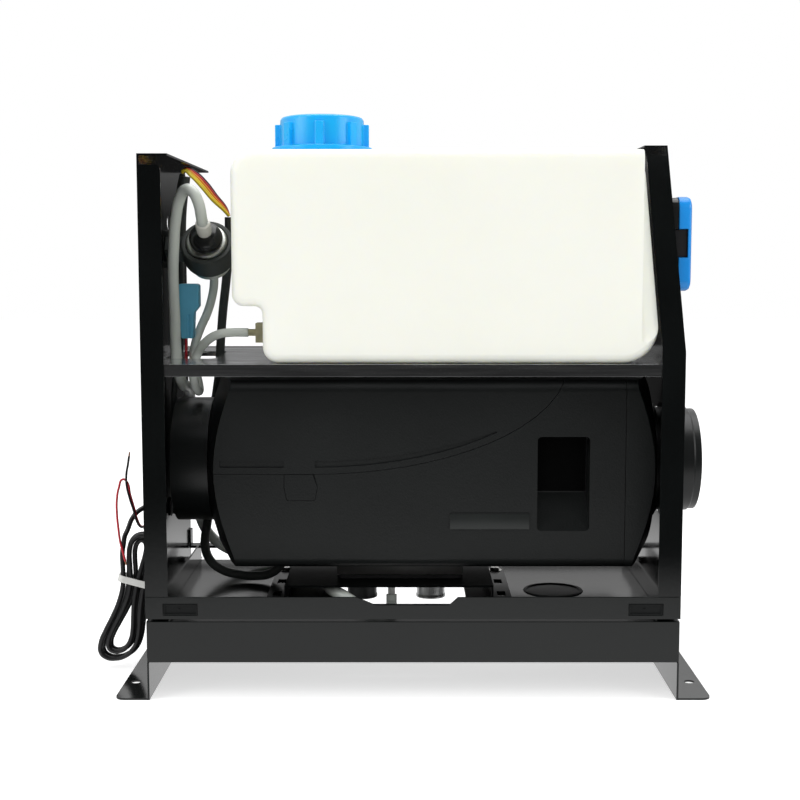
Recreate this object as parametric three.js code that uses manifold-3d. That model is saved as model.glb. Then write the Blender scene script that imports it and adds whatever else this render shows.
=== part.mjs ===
// Diesel air heater: an open sheet-steel frame on a stand, with a plastic fuel tank on a
// shelf at mid height, the heater unit lying below it, a dosing pump and hoses in the left
// bay, a controller on the right panel and a power cord tied in a hank on the left.
// Millimetres. X runs to the right, Y to the back, Z up. Z = 0 is the floor, Y = 0 the
// middle of the frame's depth, and X = 0 midway between the left foot's edge and the
// mouth of the outlet collar.
import * as THREE from 'three';
import { mergeVertices } from 'three/addons/utils/BufferGeometryUtils.js';
import Module from 'manifold-3d';

const wasm = await Module();
wasm.setup();

// ---- Driving dimensions -------------------------------------------------------------

// Clearances and stock
const fit = 0.3; // between pieces that touch
const sheet = 1.5; // frame steel
const castWall = 2.5; // heater casing

// Frame and stand
const frameWidth = 400;
const frameDepth = 214;
const footReach = 24.5;
const footCorner = 7;
const footHole = 8;
const footHoleFromEnd = 41;
const footHoleFromEdge = 8.5;
const standTop = 60.3;
const standInset = 0.5;
const standFrontBottom = 29;
const standFlange = 16.5;
const standPadRadius = 7;
const frameBoltFromEnd = 27;
const frameBoltFromSide = 6.5;
const frameBoltHole = 4.4;

// Tray
const trayBottom = 62.2;
const lipTop = 79;
const lipNotchDepth = 6;
const lipNotchLeft = -28;
const lipNotchRight = 27;
const lipNotchSlopeLeft = 14;
const lipNotchSlopeRight = 6.5;
const lipSlotLength = 26;
const lipSlotHeight = 9;
const lipSlotFromEnd = 13;
const lipSlotAboveTray = 2.8;
const insertDepth = 7;
const trayBack = 91;
const trayOpeningLeft = -62;
const trayOpeningRight = 42;
const trayOpeningFront = -66;
const trayOpeningBack = 36;
const trayOpeningCorner = 8;
const trayHole = 45;
const trayHoleX = 113.5;
const trayHoleY = -23;
const tieBarWidth = 12;
const tieBarHeight = 2.4;
const tieBarTop = 75.4;
const tieBarTab = 14;

// End panels
const leftTop = 406;
const rightTop = 418.5;
const frontFlange = 17;
const flangeNotch = 8;
const flangeCorner = 4;
const leftTopFlange = 22;
const rightTopFlange = 18;
const kinkHeight = 262;
const slantRun = 89;
const panelFoot = 11.5;
const panelReturn = 15;
const cableHole = 12;
const cableHoleY = -21;
const cableHoleZ = 135;
const upperHoleY = 16;
const upperHoleZ = 359;

// Shelf
const shelfTop = 253;
const shelfLip = 9;
const passLeft = -194;
const passRight = -154;
const passFront = -46;
const passBack = 37;
const passCorner = 6;

// Fuel tank and its cap
const tankLeft = -134;
const tankRight = 181.5;
const tankDepth = 200;
const tankHigh = 157;
const tankWall = 3;
const tankEdge = 7;
const tankStepWide = 22.5;
const tankStepHigh = 42;
const neckX = -72;
const neckOuter = 30.6;
const neckBore = 26.8;
const neckHigh = 24;
const neckCollar = 37.5;
const neckCollarHigh = 2.2;
const capGap = 1.2; // between the neck's collar and the cap's foot
const capRoof = 4;
const capSkirtRadius = 39.75;
const capSkirtHigh = 4.2;
const capRadius = 33.2;
const capRibRadius = 37.3;
const capRibWide = 6.5;
const capRibs = 8;
const capRibStep = 6.2;
const capBore = 31.1;
const sealThick = 3.4;
const sealInner = 24.5;
const outletY = -50;
const outletAboveShelf = 20.5;
const outletNut = 15;
const outletNutThick = 9;
const outletBarb = 3.4;
const outletBarbLong = 6;

// Heater casing
const heaterAxisZ = 168;
const casingHalf = 70;
const casingBottom = 92;
const casingTop = 238;
const casingCorner = 9;
const casingLeft = -160;
const casingRight = 191;
const shoulderLeft = -153;
const shoulderRight = 186;
const coneSlope = 0.555; // length of the end cone per unit of radius
const mouthLeft = 50;
const mouthRight = 48;
const hoodJoint = 163;
const seamHeight = 166;
const seamBendStart = -75;
const seamTopX = 116;
const grooveAbove = 5;
const grooveWide = 5;
const grooveDeep = 1.4;
const grooveLeft = -148;
const grooveGapLeft = -99;
const clipTopWide = 19;
const clipWide = 25.4;
const clipBottomWide = 21.6;
const clipHigh = 20.5;
const clipX = -86;
const clipThick = 1.4;
const windowLeft = 95.5;
const windowRight = 135.6;
const windowBottom = 121.9;
const windowTop = 194.7;
const windowDeep = 22;
const windowSill = 148.2;
const windowCorner = 3;
const padLeft = 27.9;
const padRight = 90.2;
const padBottom = 122.6;
const padTop = 135.9;
const padHigh = 0.6;

// Air inlet, fan and motor
const inletEnd = -190;
const inletWall = 3;
const guardThick = 2.4;
const guardRings = 3;
const guardSpokes = 6;
const guardBar = 2.4;
const shaftRadius = 3;
const impellerRadius = 43.5;
const impellerHub = 17;
const impellerLong = 20;
const impellerStart = -184;
const impellerBlades = 9;
const bladeThick = 2;
const motorRadius = 26;
const motorLong = 42;
const blowerRadius = 56;
const blowerLong = 25;
const blowerWall = 3;
const blowerEnd = -85.1;
const blowerEye = 13;
const wheelRadius = 38;
const wheelLong = 12;
const wheelBlades = 12;

// Burner, heat exchanger and fuel stubs
const burnerFlangeThick = 2.5;
const burnerRadius = 26;
const burnerWall = 2;
const burnerLong = 118;
const exchangerBore = 34;
const exchangerCore = 45;
const exchangerFin = 62;
const exchangerFins = 24;
const finThick = 2;
const exchangerEnd = 88;
const exchangerClosed = 5;
const exchangerFlange = 3.5;
const baseLeft = -60;
const baseRight = 40;
const baseHalf = 40;
const gasketThick = 3;
const plugX = -70;
const plugRadius = 3;
const plugHex = 5.2;
const plugTop = 60;
const exhaustX = 15;
const exhaustRadius = 12;
const intakeX = -41;
const intakeRadius = 12.5;
const stubY = -10;
const stubWall = 1.5;
const stubBottom = 56;
const fuelStubX = -17;
const fuelStubRadius = 3;
const fuelStubBottom = 58;
const stubClear = 2;
const boardWide = 36;
const boardDeep = 60;
const boardHigh = 19;
const boardLeft = -155;

// Saddle under the heater
const saddleTop = 77;
const saddleLeft = -100;
const saddleRight = 63;
const saddleHalf = 62;
const saddleFoot = 15;
const saddleSlotWide = 6.5;
const saddleSlotLong = 15;
const saddleSlotPitch = 41;

// Warm-air outlet
const collarRadius = 42;
const collarWall = 3;
const collarBase = 47;
const collarBaseThick = 3;
const collarEnd = 228;
const collarLip = 6;
const collarLipStep = 1.2;
const panelHoleClear = 0.7;

// Controller
const controlFront = -38;
const controlBack = 27;
const controlBottom = 305;
const controlTop = 378;
const controlCorner = 9;
const controlBaseThick = 6;
const controlThick = 16.5;
const controlBevel = 3;
const controlNotchLow = 331;
const controlNotchHigh = 353;
const controlNotchDeep = 5;
const screenFront = -27;
const screenBack = 16;
const screenLow = 339;
const screenHigh = 367;
const screenThick = 1.4;
const screenDeep = 2;
const buttonRadius = 4.4;
const buttonRow = 321;
const buttonFirst = -25;
const buttonPitch = 13;
const buttonCount = 4;
const buttonLong = 6.4;
const buttonProud = 1.2;
const buttonWell = 6;

// Dosing pump, held at a tilt by its rubber holder
const pumpX = -162.8;
const pumpY = -9.5;
const pumpZ = 337.5;
const pumpTilt = 35; // degrees above level, pointing to the front
const pumpRadius = 16.5;
const pumpFront = 13;
const pumpBack = 22;
const pumpEdge = 3;
const pumpCapRadius = 13.3;
const pumpCapLong = 9;
const nozzleLong = 13;
const nozzleNarrow = 3.6;
const nozzleWide = 6.2;
const inletSpigot = 3;
const inletSpigotLong = 11;
const plungerRadius = 5.7;
const plungerLong = 14;
const pumpBoreDepth = 28;
const holderOuter = 20.5;
const holderLong = 20;
const holderLug = 14;
const bracketWide = 24;
const bracketHigh = 30;

// Hoses and wiring that the frame holds
const hoseRadius = 4;
const supplyHoseRadius = 3.5;
const sleeveRadius = 3.75;
const leadRadius = 2.4;
const wireRadius = 1;
const connectorWide = 16.5;
const connectorDeep = 12;
const connectorHigh = 44;
const connectorX = -180;
const connectorY = 2;
const connectorTop = 310;

// Power cord
const cordDiameter = 4;
const cordExitY = 2;
const cordExitZ = 128;
const grommetFlange = 8;
const grommetNeck = 6;
const grommetBoss = 4.4;
const hankY = -22;
const hankTurns = 4;
const hankPitch = 5.9;
const hankTop = 115;
const hankBottom = 4.8;
const hankWaist = 71.3;
const hankWaistX = -222.6;
const hankUpperHalf = 14.8;
const hankLowerHalf = 17;
const hankStart = 0.1;
const hankLean = 20;
const hankLeanCurve = 1.2;
const hankRise = 0.14;
const tieWide = 5.4;
const tieThick = 1.2;
const tieClear = 0.9;
const tieTilt = 0.26;
const coreRadius = 0.9;

// ---- Solid operations ---------------------------------------------------------------

// Twice three times the volume inside a triangle mesh: its sign tells which way it faces.
function facing(points, corners) {
  let sum = 0;
  const [a, b, c] = [new THREE.Vector3(), new THREE.Vector3(), new THREE.Vector3()];
  for (let i = 0; i < corners.length; i += 3) {
    a.fromArray(points, corners[i] * 3);
    b.fromArray(points, corners[i + 1] * 3);
    c.fromArray(points, corners[i + 2] * 3);
    sum += a.dot(b.cross(c));
  }
  return sum;
}

// A closed geometry as a solid, without the flat triangles that a lathe leaves on its axis.
function solid(geometry) {
  const bare = geometry.clone();
  bare.deleteAttribute('normal');
  bare.deleteAttribute('uv');
  const mesh = mergeVertices(bare, 1e-4);
  const points = mesh.attributes.position.array;
  const index = mesh.index.array;
  const corners = [];
  for (let i = 0; i < index.length; i += 3) {
    const [a, b, c] = [index[i], index[i + 1], index[i + 2]];
    if (a !== b && b !== c && c !== a) corners.push(a, b, c);
  }
  if (facing(points, corners) < 0) corners.reverse();
  const vertProperties = new Float32Array(points);
  const triVerts = new Uint32Array(corners);
  return new wasm.Manifold(new wasm.Mesh({ numProp: 3, vertProperties, triVerts }));
}

const join = (first, ...rest) => rest.reduce((all, next) => all.add(next), first);
const cut = (first, ...rest) => rest.reduce((all, next) => all.subtract(next), first);
const common = (first, second) => first.intersect(second);
const placed = (piece, matrix) => piece.transform(matrix.toArray());
const shifted = (piece, x, y, z) => placed(piece, new THREE.Matrix4().makeTranslation(x, y, z));

// ---- Shape builders -----------------------------------------------------------------

const boxOf = (x0, x1, y0, y1, z0, z1) =>
  solid(new THREE.BoxGeometry(x1 - x0, y1 - y0, z1 - z0)
    .translate((x0 + x1) / 2, (y0 + y1) / 2, (z0 + z1) / 2));

// Points of an outline whose corners, each [x, y, radius], are rounded.
function outline(corners, steps = 4) {
  const points = [];
  corners.forEach(([x, y, radius], i) => {
    const here = new THREE.Vector2(x, y);
    if (!radius) {
      points.push(here);
      return;
    }
    const [bx, by] = corners[(i + corners.length - 1) % corners.length];
    const [nx, ny] = corners[(i + 1) % corners.length];
    const back = new THREE.Vector2(bx, by).sub(here).normalize();
    const on = new THREE.Vector2(nx, ny).sub(here).normalize();
    const half = Math.acos(back.dot(on)) / 2;
    const centre = back.clone().add(on).normalize().multiplyScalar(radius / Math.sin(half));
    centre.add(here);
    const start = here.clone().addScaledVector(back, radius / Math.tan(half)).sub(centre);
    const turn = Math.sign(back.cross(on)) * -(Math.PI - 2 * half);
    for (let k = 0; k <= steps; k += 1) {
      points.push(start.clone().rotateAround(new THREE.Vector2(), -turn * -k / steps).add(centre));
    }
  });
  return points;
}

const rectangle = (x0, x1, y0, y1, radius = 0, steps = 4) =>
  outline([[x0, y0, radius], [x1, y0, radius], [x1, y1, radius], [x0, y1, radius]], steps);

function circle(radius, sides, x = 0, y = 0) {
  const points = [];
  for (let k = 0; k < sides; k += 1) {
    const angle = (2 * Math.PI * (k + 0.5)) / sides;
    points.push(new THREE.Vector2(x + radius * Math.cos(angle), y + radius * Math.sin(angle)));
  }
  return points;
}

function prism(points, depth) {
  return new THREE.ExtrudeGeometry(new THREE.Shape(points), { depth, bevelEnabled: false });
}

// Slabs of an outline drawn in (x, y), (x, z) or (y, z).
const slabZ = (points, z0, z1) => solid(prism(points, z1 - z0).translate(0, 0, z0));
const slabY = (points, y0, y1) =>
  solid(prism(points, y1 - y0).rotateX(Math.PI / 2).translate(0, y1, 0));
const slabX = (points, x0, x1) =>
  solid(prism(points, x1 - x0).rotateX(Math.PI / 2).rotateZ(Math.PI / 2).translate(x0, 0, 0));

// A profile of [radius, height] turned round the Z axis, or round the heater's own X axis.
function turnedZ(profile, sides) {
  const points = profile.map(([radius, along]) => new THREE.Vector2(radius, along));
  return solid(new THREE.LatheGeometry(points, sides).rotateX(Math.PI / 2));
}
function turnedX(profile, sides) {
  const points = profile.map(([radius, along]) => new THREE.Vector2(radius, along));
  const lathe = new THREE.LatheGeometry(points, sides).rotateZ(-Math.PI / 2);
  return solid(lathe.translate(0, 0, heaterAxisZ));
}

const rod = (radius, x0, x1, sides) =>
  turnedX([[0, x0], [radius, x0], [radius, x1], [0, x1]], sides);
const ring = (inner, outer, x0, x1, sides) =>
  turnedX([[inner, x0], [outer, x0], [outer, x1], [inner, x1], [inner, x0]], sides);

// A section swept along a smooth curve through points.
function swept(route, section, steps) {
  const path = new THREE.CatmullRomCurve3(route.map((p) => new THREE.Vector3(...p)));
  const shape = new THREE.Shape(section);
  return solid(new THREE.ExtrudeGeometry(shape, { steps, extrudePath: path, bevelEnabled: false }));
}

// ---- Assembly -----------------------------------------------------------------------

const heater = new THREE.Group();
heater.position.x = (frameWidth / 2 + footReach - collarEnd) / 2;

const finishes = {
  frame: { color: 0x1b1e1e, roughness: 0.28, metalness: 0.2 },
  galvanized: { color: 0xb9bdbf, roughness: 0.22, metalness: 0.9 },
  tank: { color: 0xf1efdf, roughness: 0.42, metalness: 0 },
  blue: { color: 0x2b9bf0, roughness: 0.35, metalness: 0 },
  casing: { color: 0x2a2e2e, roughness: 0.6, metalness: 0 },
  black: { color: 0x121414, roughness: 0.45, metalness: 0 },
  rubber: { color: 0x1c1d1d, roughness: 0.8, metalness: 0 },
  steel: { color: 0xa9acaa, roughness: 0.35, metalness: 0.9 },
  cast: { color: 0x9b9d9c, roughness: 0.55, metalness: 0.8 },
  brass: { color: 0xb9a878, roughness: 0.4, metalness: 0.8 },
  hose: { color: 0xd8d8cc, roughness: 0.4, metalness: 0 },
  glass: { color: 0x1a2530, roughness: 0.1, metalness: 0 },
  red: { color: 0xc0202c, roughness: 0.45, metalness: 0 },
  yellow: { color: 0xe8c520, roughness: 0.45, metalness: 0 },
  connector: { color: 0x2f82b4, roughness: 0.5, metalness: 0 },
  white: { color: 0xeeeeec, roughness: 0.5, metalness: 0 },
};
const materials = Object.fromEntries(
  Object.entries(finishes).map(([name, look]) => [name, new THREE.MeshStandardMaterial(look)]),
);

function add(name, piece, finish) {
  const mesh = piece.getMesh();
  const geometry = new THREE.BufferGeometry();
  geometry.setAttribute('position', new THREE.BufferAttribute(mesh.vertProperties, 3));
  geometry.setIndex(new THREE.BufferAttribute(mesh.triVerts, 1));
  geometry.computeVertexNormals();
  const node = new THREE.Mesh(geometry, materials[finish].clone());
  node.name = name;
  heater.add(node);
}

// ---- Shared places ------------------------------------------------------------------

const halfWidth = frameWidth / 2;
const halfDepth = frameDepth / 2;
const front = -halfDepth;
const standHalf = halfWidth - standInset;
const trayTop = trayBottom + sheet;
const panelBottom = trayTop + fit;
const panelInner = halfWidth - sheet;
const frameBolts = [-1, 1].map((side) => side * (halfDepth - frameBoltFromEnd));
const frameBoltX = halfWidth - frameBoltFromSide;

// ---- Stand: two legs with feet, and a front panel over their front edges -------------

function standLeg(side) {
  const wall = [standHalf - sheet, standHalf];
  const plan = outline([
    [wall[0], front, 0],
    [halfWidth + footReach, front, footCorner],
    [halfWidth + footReach, halfDepth, footCorner],
    [wall[0], halfDepth, 0],
  ]);
  const foot = slabZ(plan, 0, sheet);
  const upright = boxOf(wall[0], wall[1], front, halfDepth, 0, standTop);
  const flange = boxOf(standHalf - standFlange, standHalf, front, halfDepth, standTop - sheet, standTop);
  const frontRelief = boxOf(
    standHalf - standFlange - 1, halfWidth + 1, front - 1, front + sheet + fit,
    standFrontBottom - fit, standTop + 1,
  );
  const holeX = halfWidth + footReach - footHoleFromEdge;
  const footHoles = [-1, 1].map((end) =>
    slabZ(circle(footHole / 2, 16, holeX, end * (halfDepth - footHoleFromEnd)), -1, sheet + 1));
  const pads = frameBolts.map((y) =>
    slabZ(circle(standPadRadius, 16, frameBoltX, y), standTop - sheet / 2, trayBottom - fit));
  const boltHoles = frameBolts.map((y) =>
    slabZ(circle(frameBoltHole / 2, 12, frameBoltX, y), standTop - sheet - 1, trayBottom));
  const padTrim = boxOf(standHalf, halfWidth + 1, front, halfDepth, standTop - sheet, trayBottom);
  const leg = cut(join(foot, upright, flange, ...pads), frontRelief, padTrim, ...footHoles, ...boltHoles);
  return side > 0 ? leg : leg.mirror([1, 0, 0]);
}

function standFrontPanel() {
  const plate = boxOf(-standHalf, standHalf, front, front + sheet, standFrontBottom, standTop);
  const inner = standHalf - standFlange - fit;
  const topFlange = boxOf(-inner, inner, front, front + 14, standTop - sheet, standTop);
  const bottomFlange = boxOf(-inner, inner, front, front + 9, standFrontBottom, standFrontBottom + sheet);
  const tabs = [-1, 1].map((side) => {
    const outer = side * (standHalf - sheet - fit);
    const x = [outer, outer - side * sheet].sort((a, b) => a - b);
    return boxOf(x[0], x[1], front, front + 16, standFrontBottom, standTop - sheet - fit);
  });
  return join(plate, topFlange, bottomFlange, ...tabs);
}

add('stand_left_leg', standLeg(-1), 'frame');
add('stand_right_leg', standLeg(1), 'frame');
add('stand_front_panel', standFrontPanel(), 'frame');

// ---- Tray: the floor of the frame, with its front lip --------------------------------

const slotLow = trayBottom + lipSlotAboveTray;
const slotCentreX = halfWidth - lipSlotFromEnd - lipSlotLength / 2;

function baseTray() {
  const floor = boxOf(-halfWidth, halfWidth, front, trayBack, trayBottom, trayTop);
  const notchLow = lipTop - lipNotchDepth;
  const lipOutline = outline([
    [-halfWidth, trayBottom, 0],
    [halfWidth, trayBottom, 0],
    [halfWidth, lipTop, 0],
    [lipNotchRight + lipNotchSlopeRight, lipTop, 0],
    [lipNotchRight, notchLow, 0],
    [lipNotchLeft, notchLow, 0],
    [lipNotchLeft - lipNotchSlopeLeft, lipTop, 0],
    [-halfWidth, lipTop, 0],
  ]);
  const lip = slabY(lipOutline, front, front + sheet);
  const slots = [-1, 1].map((side) =>
    boxOf(
      side * slotCentreX - lipSlotLength / 2, side * slotCentreX + lipSlotLength / 2,
      front - 1, front + sheet + 1, slotLow, slotLow + lipSlotHeight,
    ));
  const opening = slabZ(
    rectangle(trayOpeningLeft, trayOpeningRight, trayOpeningFront, trayOpeningBack, trayOpeningCorner),
    trayBottom - 1, trayTop + 1,
  );
  const hole = slabZ(circle(trayHole / 2, 32, trayHoleX, trayHoleY), trayBottom - 1, trayTop + 1);
  const boltHoles = [-1, 1].flatMap((side) => frameBolts.map((y) =>
    slabZ(circle(frameBoltHole / 2, 12, side * frameBoltX, y), trayBottom - 1, trayTop + 1)));
  return cut(join(floor, lip), opening, hole, ...slots, ...boltHoles);
}

// Plastic insert pressed into a slot of the lip, with a collar behind the sheet.
function lipInsert(side) {
  const half = lipSlotLength / 2 - fit;
  const x = side * slotCentreX;
  const [low, high] = [slotLow + fit, slotLow + lipSlotHeight - fit];
  const body = boxOf(x - half, x + half, front + 0.4, front + insertDepth, low, high);
  const behind = front + sheet + fit;
  const collar = boxOf(x - half, x + half, behind, behind + 2, low - 0.8, high + 1);
  const dish = boxOf(x - half + 1.2, x + half - 1.2, front - 1, front + 1.4, low + 1.2, high - 1.2);
  const pin = slabY(circle(1, 10, x - 1, (low + high) / 2), front + 0.8, front + 2);
  return join(cut(join(body, collar), dish), pin);
}

function rearTieBar() {
  const reach = panelInner - fit;
  const back = halfDepth;
  const bar = boxOf(-reach, reach, back - tieBarWidth, back, tieBarTop - tieBarHeight, tieBarTop);
  const tabs = [-1, 1].map((side) => {
    const x = [side * reach, side * (reach - sheet)].sort((a, b) => a - b);
    return boxOf(x[0], x[1], back - tieBarWidth, back, tieBarTop - tieBarHeight, tieBarTop + tieBarTab);
  });
  return join(bar, ...tabs);
}

add('base_tray', baseTray(), 'frame');
add('lip_insert_left', lipInsert(-1), 'black');
add('lip_insert_right', lipInsert(1), 'black');
add('rear_tie_bar', rearTieBar(), 'frame');

// ---- End panels ----------------------------------------------------------------------

// The panel's foot: an inward flange on the tray and a return up from its edge.
function panelFootFlange() {
  const inner = panelInner - panelFoot;
  const foot = boxOf(inner, halfWidth, front + sheet + fit, halfDepth, panelBottom, panelBottom + sheet);
  const back = boxOf(
    inner, inner + sheet, front + sheet + fit + 3, trayBack, panelBottom, panelBottom + panelReturn,
  );
  const barClear = boxOf(
    inner - 1, panelInner, halfDepth - tieBarWidth - fit, halfDepth + 1,
    panelBottom - 1, panelBottom + sheet + 1,
  );
  const holes = frameBolts.map((y) =>
    slabZ(circle(frameBoltHole / 2, 12, frameBoltX, y), panelBottom - 1, panelBottom + sheet + 1));
  return cut(join(foot, back), barClear, ...holes);
}

// The front flange starts above the tray's lip and stops short of the top.
function lipClear() {
  return boxOf(0, halfWidth + 1, front - 1, front + sheet + fit, panelBottom - 1, lipTop + fit);
}

function leftEndPanel() {
  const wall = boxOf(panelInner, halfWidth, front, halfDepth, panelBottom, leftTop);
  const flangeTop = leftTop - flangeNotch;
  const flangeOutline = outline([
    [halfWidth - frontFlange, lipTop + fit, 0],
    [halfWidth, lipTop + fit, 0],
    [halfWidth, flangeTop, 0],
    [halfWidth - frontFlange, flangeTop, flangeCorner],
  ]);
  const flange = slabY(flangeOutline, front, front + sheet);
  const top = boxOf(halfWidth - leftTopFlange, halfWidth, front, halfDepth, leftTop - sheet, leftTop);
  const holes = [[cableHoleY, cableHoleZ], [upperHoleY, upperHoleZ]].map(([y, z]) =>
    slabX(circle(cableHole / 2, 16, y, z), panelInner - 1, halfWidth + 1));
  const grommetHole = slabX(
    circle(grommetNeck + fit, 16, cordExitY, cordExitZ), panelInner - 1, halfWidth + 1,
  );
  const panel = cut(join(wall, flange, top, panelFootFlange()), lipClear(), grommetHole, ...holes);
  return panel.mirror([1, 0, 0]);
}

function rightEndPanel() {
  const kinkY = front + slantRun;
  const side = outline([
    [front, panelBottom, 0],
    [halfDepth, panelBottom, 0],
    [halfDepth, rightTop, 0],
    [kinkY, rightTop, 0],
    [front, kinkHeight, 0],
  ]);
  const wall = slabX(side, panelInner, halfWidth);
  const slope = new THREE.Vector2(slantRun, rightTop - kinkHeight).normalize();
  const inward = new THREE.Vector2(slope.y, -slope.x).multiplyScalar(sheet);
  const flangeTop = rightTop - flangeNotch;
  const topY = front + (slantRun * (flangeTop - kinkHeight)) / (rightTop - kinkHeight);
  const kinkIn = sheet * Math.tan(Math.atan2(slantRun, rightTop - kinkHeight) / 2);
  const strip = outline([
    [front, lipTop + fit, 0],
    [front + sheet, lipTop + fit, 0],
    [front + sheet, kinkHeight - kinkIn, 0],
    [topY + inward.x, flangeTop + inward.y, 0],
    [topY, flangeTop, 0],
    [front, kinkHeight, 0],
  ]);
  const flange = slabX(strip, halfWidth - frontFlange, halfWidth);
  const top = boxOf(halfWidth - rightTopFlange, halfWidth, kinkY, halfDepth, rightTop - sheet, rightTop);
  const outletHole = rod(collarRadius + panelHoleClear, panelInner - 1, halfWidth + 1, 48);
  return cut(join(wall, flange, top, panelFootFlange()), lipClear(), outletHole);
}

add('left_end_panel', leftEndPanel(), 'frame');
add('right_end_panel', rightEndPanel(), 'frame');

// ---- Shelf ---------------------------------------------------------------------------

function shelf() {
  const reach = panelInner - fit;
  const [near, far] = [front + sheet + fit, halfDepth - sheet - fit];
  const plate = boxOf(-reach, reach, near, far, shelfTop - sheet, shelfTop);
  const skirt = boxOf(-reach, reach, near, far, shelfTop - shelfLip, shelfTop - sheet / 2);
  const hollow = boxOf(
    -reach + sheet, reach - sheet, near + sheet, far - sheet, shelfTop - shelfLip - 1, shelfTop - sheet,
  );
  const pass = slabZ(
    rectangle(passLeft, passRight, passFront, passBack, passCorner), shelfTop - shelfLip, shelfTop + 1,
  );
  return cut(join(plate, skirt), hollow, pass);
}

add('shelf', shelf(), 'galvanized');

// ---- Fuel tank, cap and outlet fitting -------------------------------------------------

const tankBottom = shelfTop + fit;
const tankTop = shelfTop + tankHigh;
const neckTop = tankTop + neckHigh;
const sealBottom = neckTop + fit;
const capBottom = tankTop + neckCollarHigh + capGap;
const capCeiling = sealBottom + sealThick + fit;
const capTop = capCeiling + capRoof;

// A blow-moulded body: the front outline, rounded over at the front and back faces.
function tankBody(inset) {
  const stepX = tankLeft + tankStepWide + inset;
  const stepZ = tankBottom + tankStepHigh + inset;
  const corners = [
    [stepX, tankBottom + inset, 12],
    [tankRight - inset, tankBottom + inset, 26],
    [tankRight - inset, tankTop - inset, 15],
    [tankLeft + inset, tankTop - inset, 18],
    [tankLeft + inset, stepZ, 9],
    [stepX, stepZ, 6],
  ].map(([x, z, radius], i) => [x, z, i === 5 ? radius + inset : radius - inset]);
  const bevel = tankEdge - inset;
  const shape = new THREE.Shape(outline(corners, 3));
  const geometry = new THREE.ExtrudeGeometry(shape, {
    depth: tankDepth - 2 * tankEdge,
    bevelThickness: bevel,
    bevelSize: bevel,
    bevelOffset: -bevel,
    bevelSegments: 2,
  });
  return solid(geometry.rotateX(Math.PI / 2).translate(0, tankDepth / 2 - tankEdge, 0));
}

function fuelTank() {
  const neck = turnedZ([
    [0, tankTop - tankWall], [neckCollar, tankTop - tankWall], [neckCollar, tankTop + neckCollarHigh],
    [neckOuter, tankTop + neckCollarHigh], [neckOuter, neckTop], [0, neckTop],
  ], 32);
  const bore = slabZ(circle(neckBore, 32), tankTop - tankWall - 1, neckTop + 1);
  const shell = join(tankBody(0), shifted(neck, neckX, 0, 0));
  const outlet = slabX(
    circle(outletBarb + 0.2, 12, outletY, shelfTop + outletAboveShelf),
    tankLeft, tankLeft + tankStepWide + tankWall + 1,
  );
  return cut(shell, tankBody(tankWall), shifted(bore, neckX, 0, 0), outlet);
}

// Screw cap with a skirt ring and broad ribs for the hand.
function tankCap() {
  const body = turnedZ([
    [0, capTop], [capRadius - 5, capTop], [capRadius - 1.2, capTop - 1], [capRadius, capTop - 3.2],
    [capRadius, capBottom + capSkirtHigh + 1], [capSkirtRadius, capBottom + capSkirtHigh],
    [capSkirtRadius, capBottom], [0, capBottom],
  ], 48);
  const ribTop = capTop - capRibStep;
  const ribs = [];
  for (let k = 0; k < capRibs; k += 1) {
    const rib = boxOf(
      capRadius - 3, capRibRadius, -capRibWide / 2, capRibWide / 2, capBottom + capSkirtHigh / 2, ribTop,
    );
    ribs.push(placed(rib, new THREE.Matrix4().makeRotationZ((2 * Math.PI * k) / capRibs)));
  }
  const bore = slabZ(circle(capBore, 32), capBottom - 1, capCeiling);
  return shifted(cut(join(body, ...ribs), bore), neckX, 0, 0);
}

function capSeal() {
  const top = sealBottom + sealThick;
  const disc = slabZ(circle(capBore - fit, 32), sealBottom, top);
  return shifted(cut(disc, slabZ(circle(sealInner, 32), sealBottom - 1, top + 1)), neckX, 0, 0);
}

const fittingX = tankLeft + tankStepWide - fit;
const fittingZ = shelfTop + outletAboveShelf;

function outletFitting() {
  const nut = boxOf(
    fittingX - outletNutThick, fittingX, outletY - outletNut / 2, outletY + outletNut / 2,
    fittingZ - outletNut / 2, fittingZ + outletNut / 2,
  );
  const end = fittingX - outletNutThick - outletBarbLong;
  const spigot = slabX(circle(outletBarb - 0.6, 12, outletY, fittingZ), end, fittingX);
  const thread = slabX(
    circle(outletBarb - 0.2, 12, outletY, fittingZ), fittingX - 1, fittingX + tankWall + 3,
  );
  return join(nut, spigot, thread);
}

add('fuel_tank', fuelTank(), 'tank');
add('cap_seal', capSeal(), 'rubber');
add('tank_cap', tankCap(), 'blue');
add('tank_outlet_fitting', outletFitting(), 'brass');

// ---- Heater casing ---------------------------------------------------------------------

// Turned form that narrows the casing to its round mouths at both ends.
function casingNose(inset) {
  const slant = inset * Math.hypot(1, coneSlope);
  const reach = 120;
  const run = (reach - casingHalf) * coneSlope;
  return turnedX([
    [0, casingLeft + inset], [mouthLeft, casingLeft + inset], [casingHalf, shoulderLeft + slant],
    [reach, shoulderLeft + slant + run], [reach, shoulderRight - slant - run],
    [casingHalf, shoulderRight - slant], [mouthRight, casingRight - inset], [0, casingRight - inset],
  ], 48);
}

function casingBlock(inset) {
  const half = casingHalf - inset;
  const [low, high] = [casingBottom + inset, casingTop - inset];
  const section = rectangle(-half, half, low, high, casingCorner - inset, 3);
  return common(slabX(section, casingLeft, casingRight), casingNose(inset));
}

function casingShell() {
  const leftMouth = rod(mouthLeft - inletWall, casingLeft - 1, casingLeft + 12, 48);
  const rightMouth = rod(collarRadius - collarWall, casingRight - 12, casingRight + 1, 48);
  const foot = boxOf(
    baseLeft - fit, baseRight + fit, -baseHalf - fit, baseHalf + fit,
    casingBottom - 1, casingBottom + castWall + 1,
  );
  return cut(casingBlock(0), casingBlock(castWall), leftMouth, rightMouth, foot);
}

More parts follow.
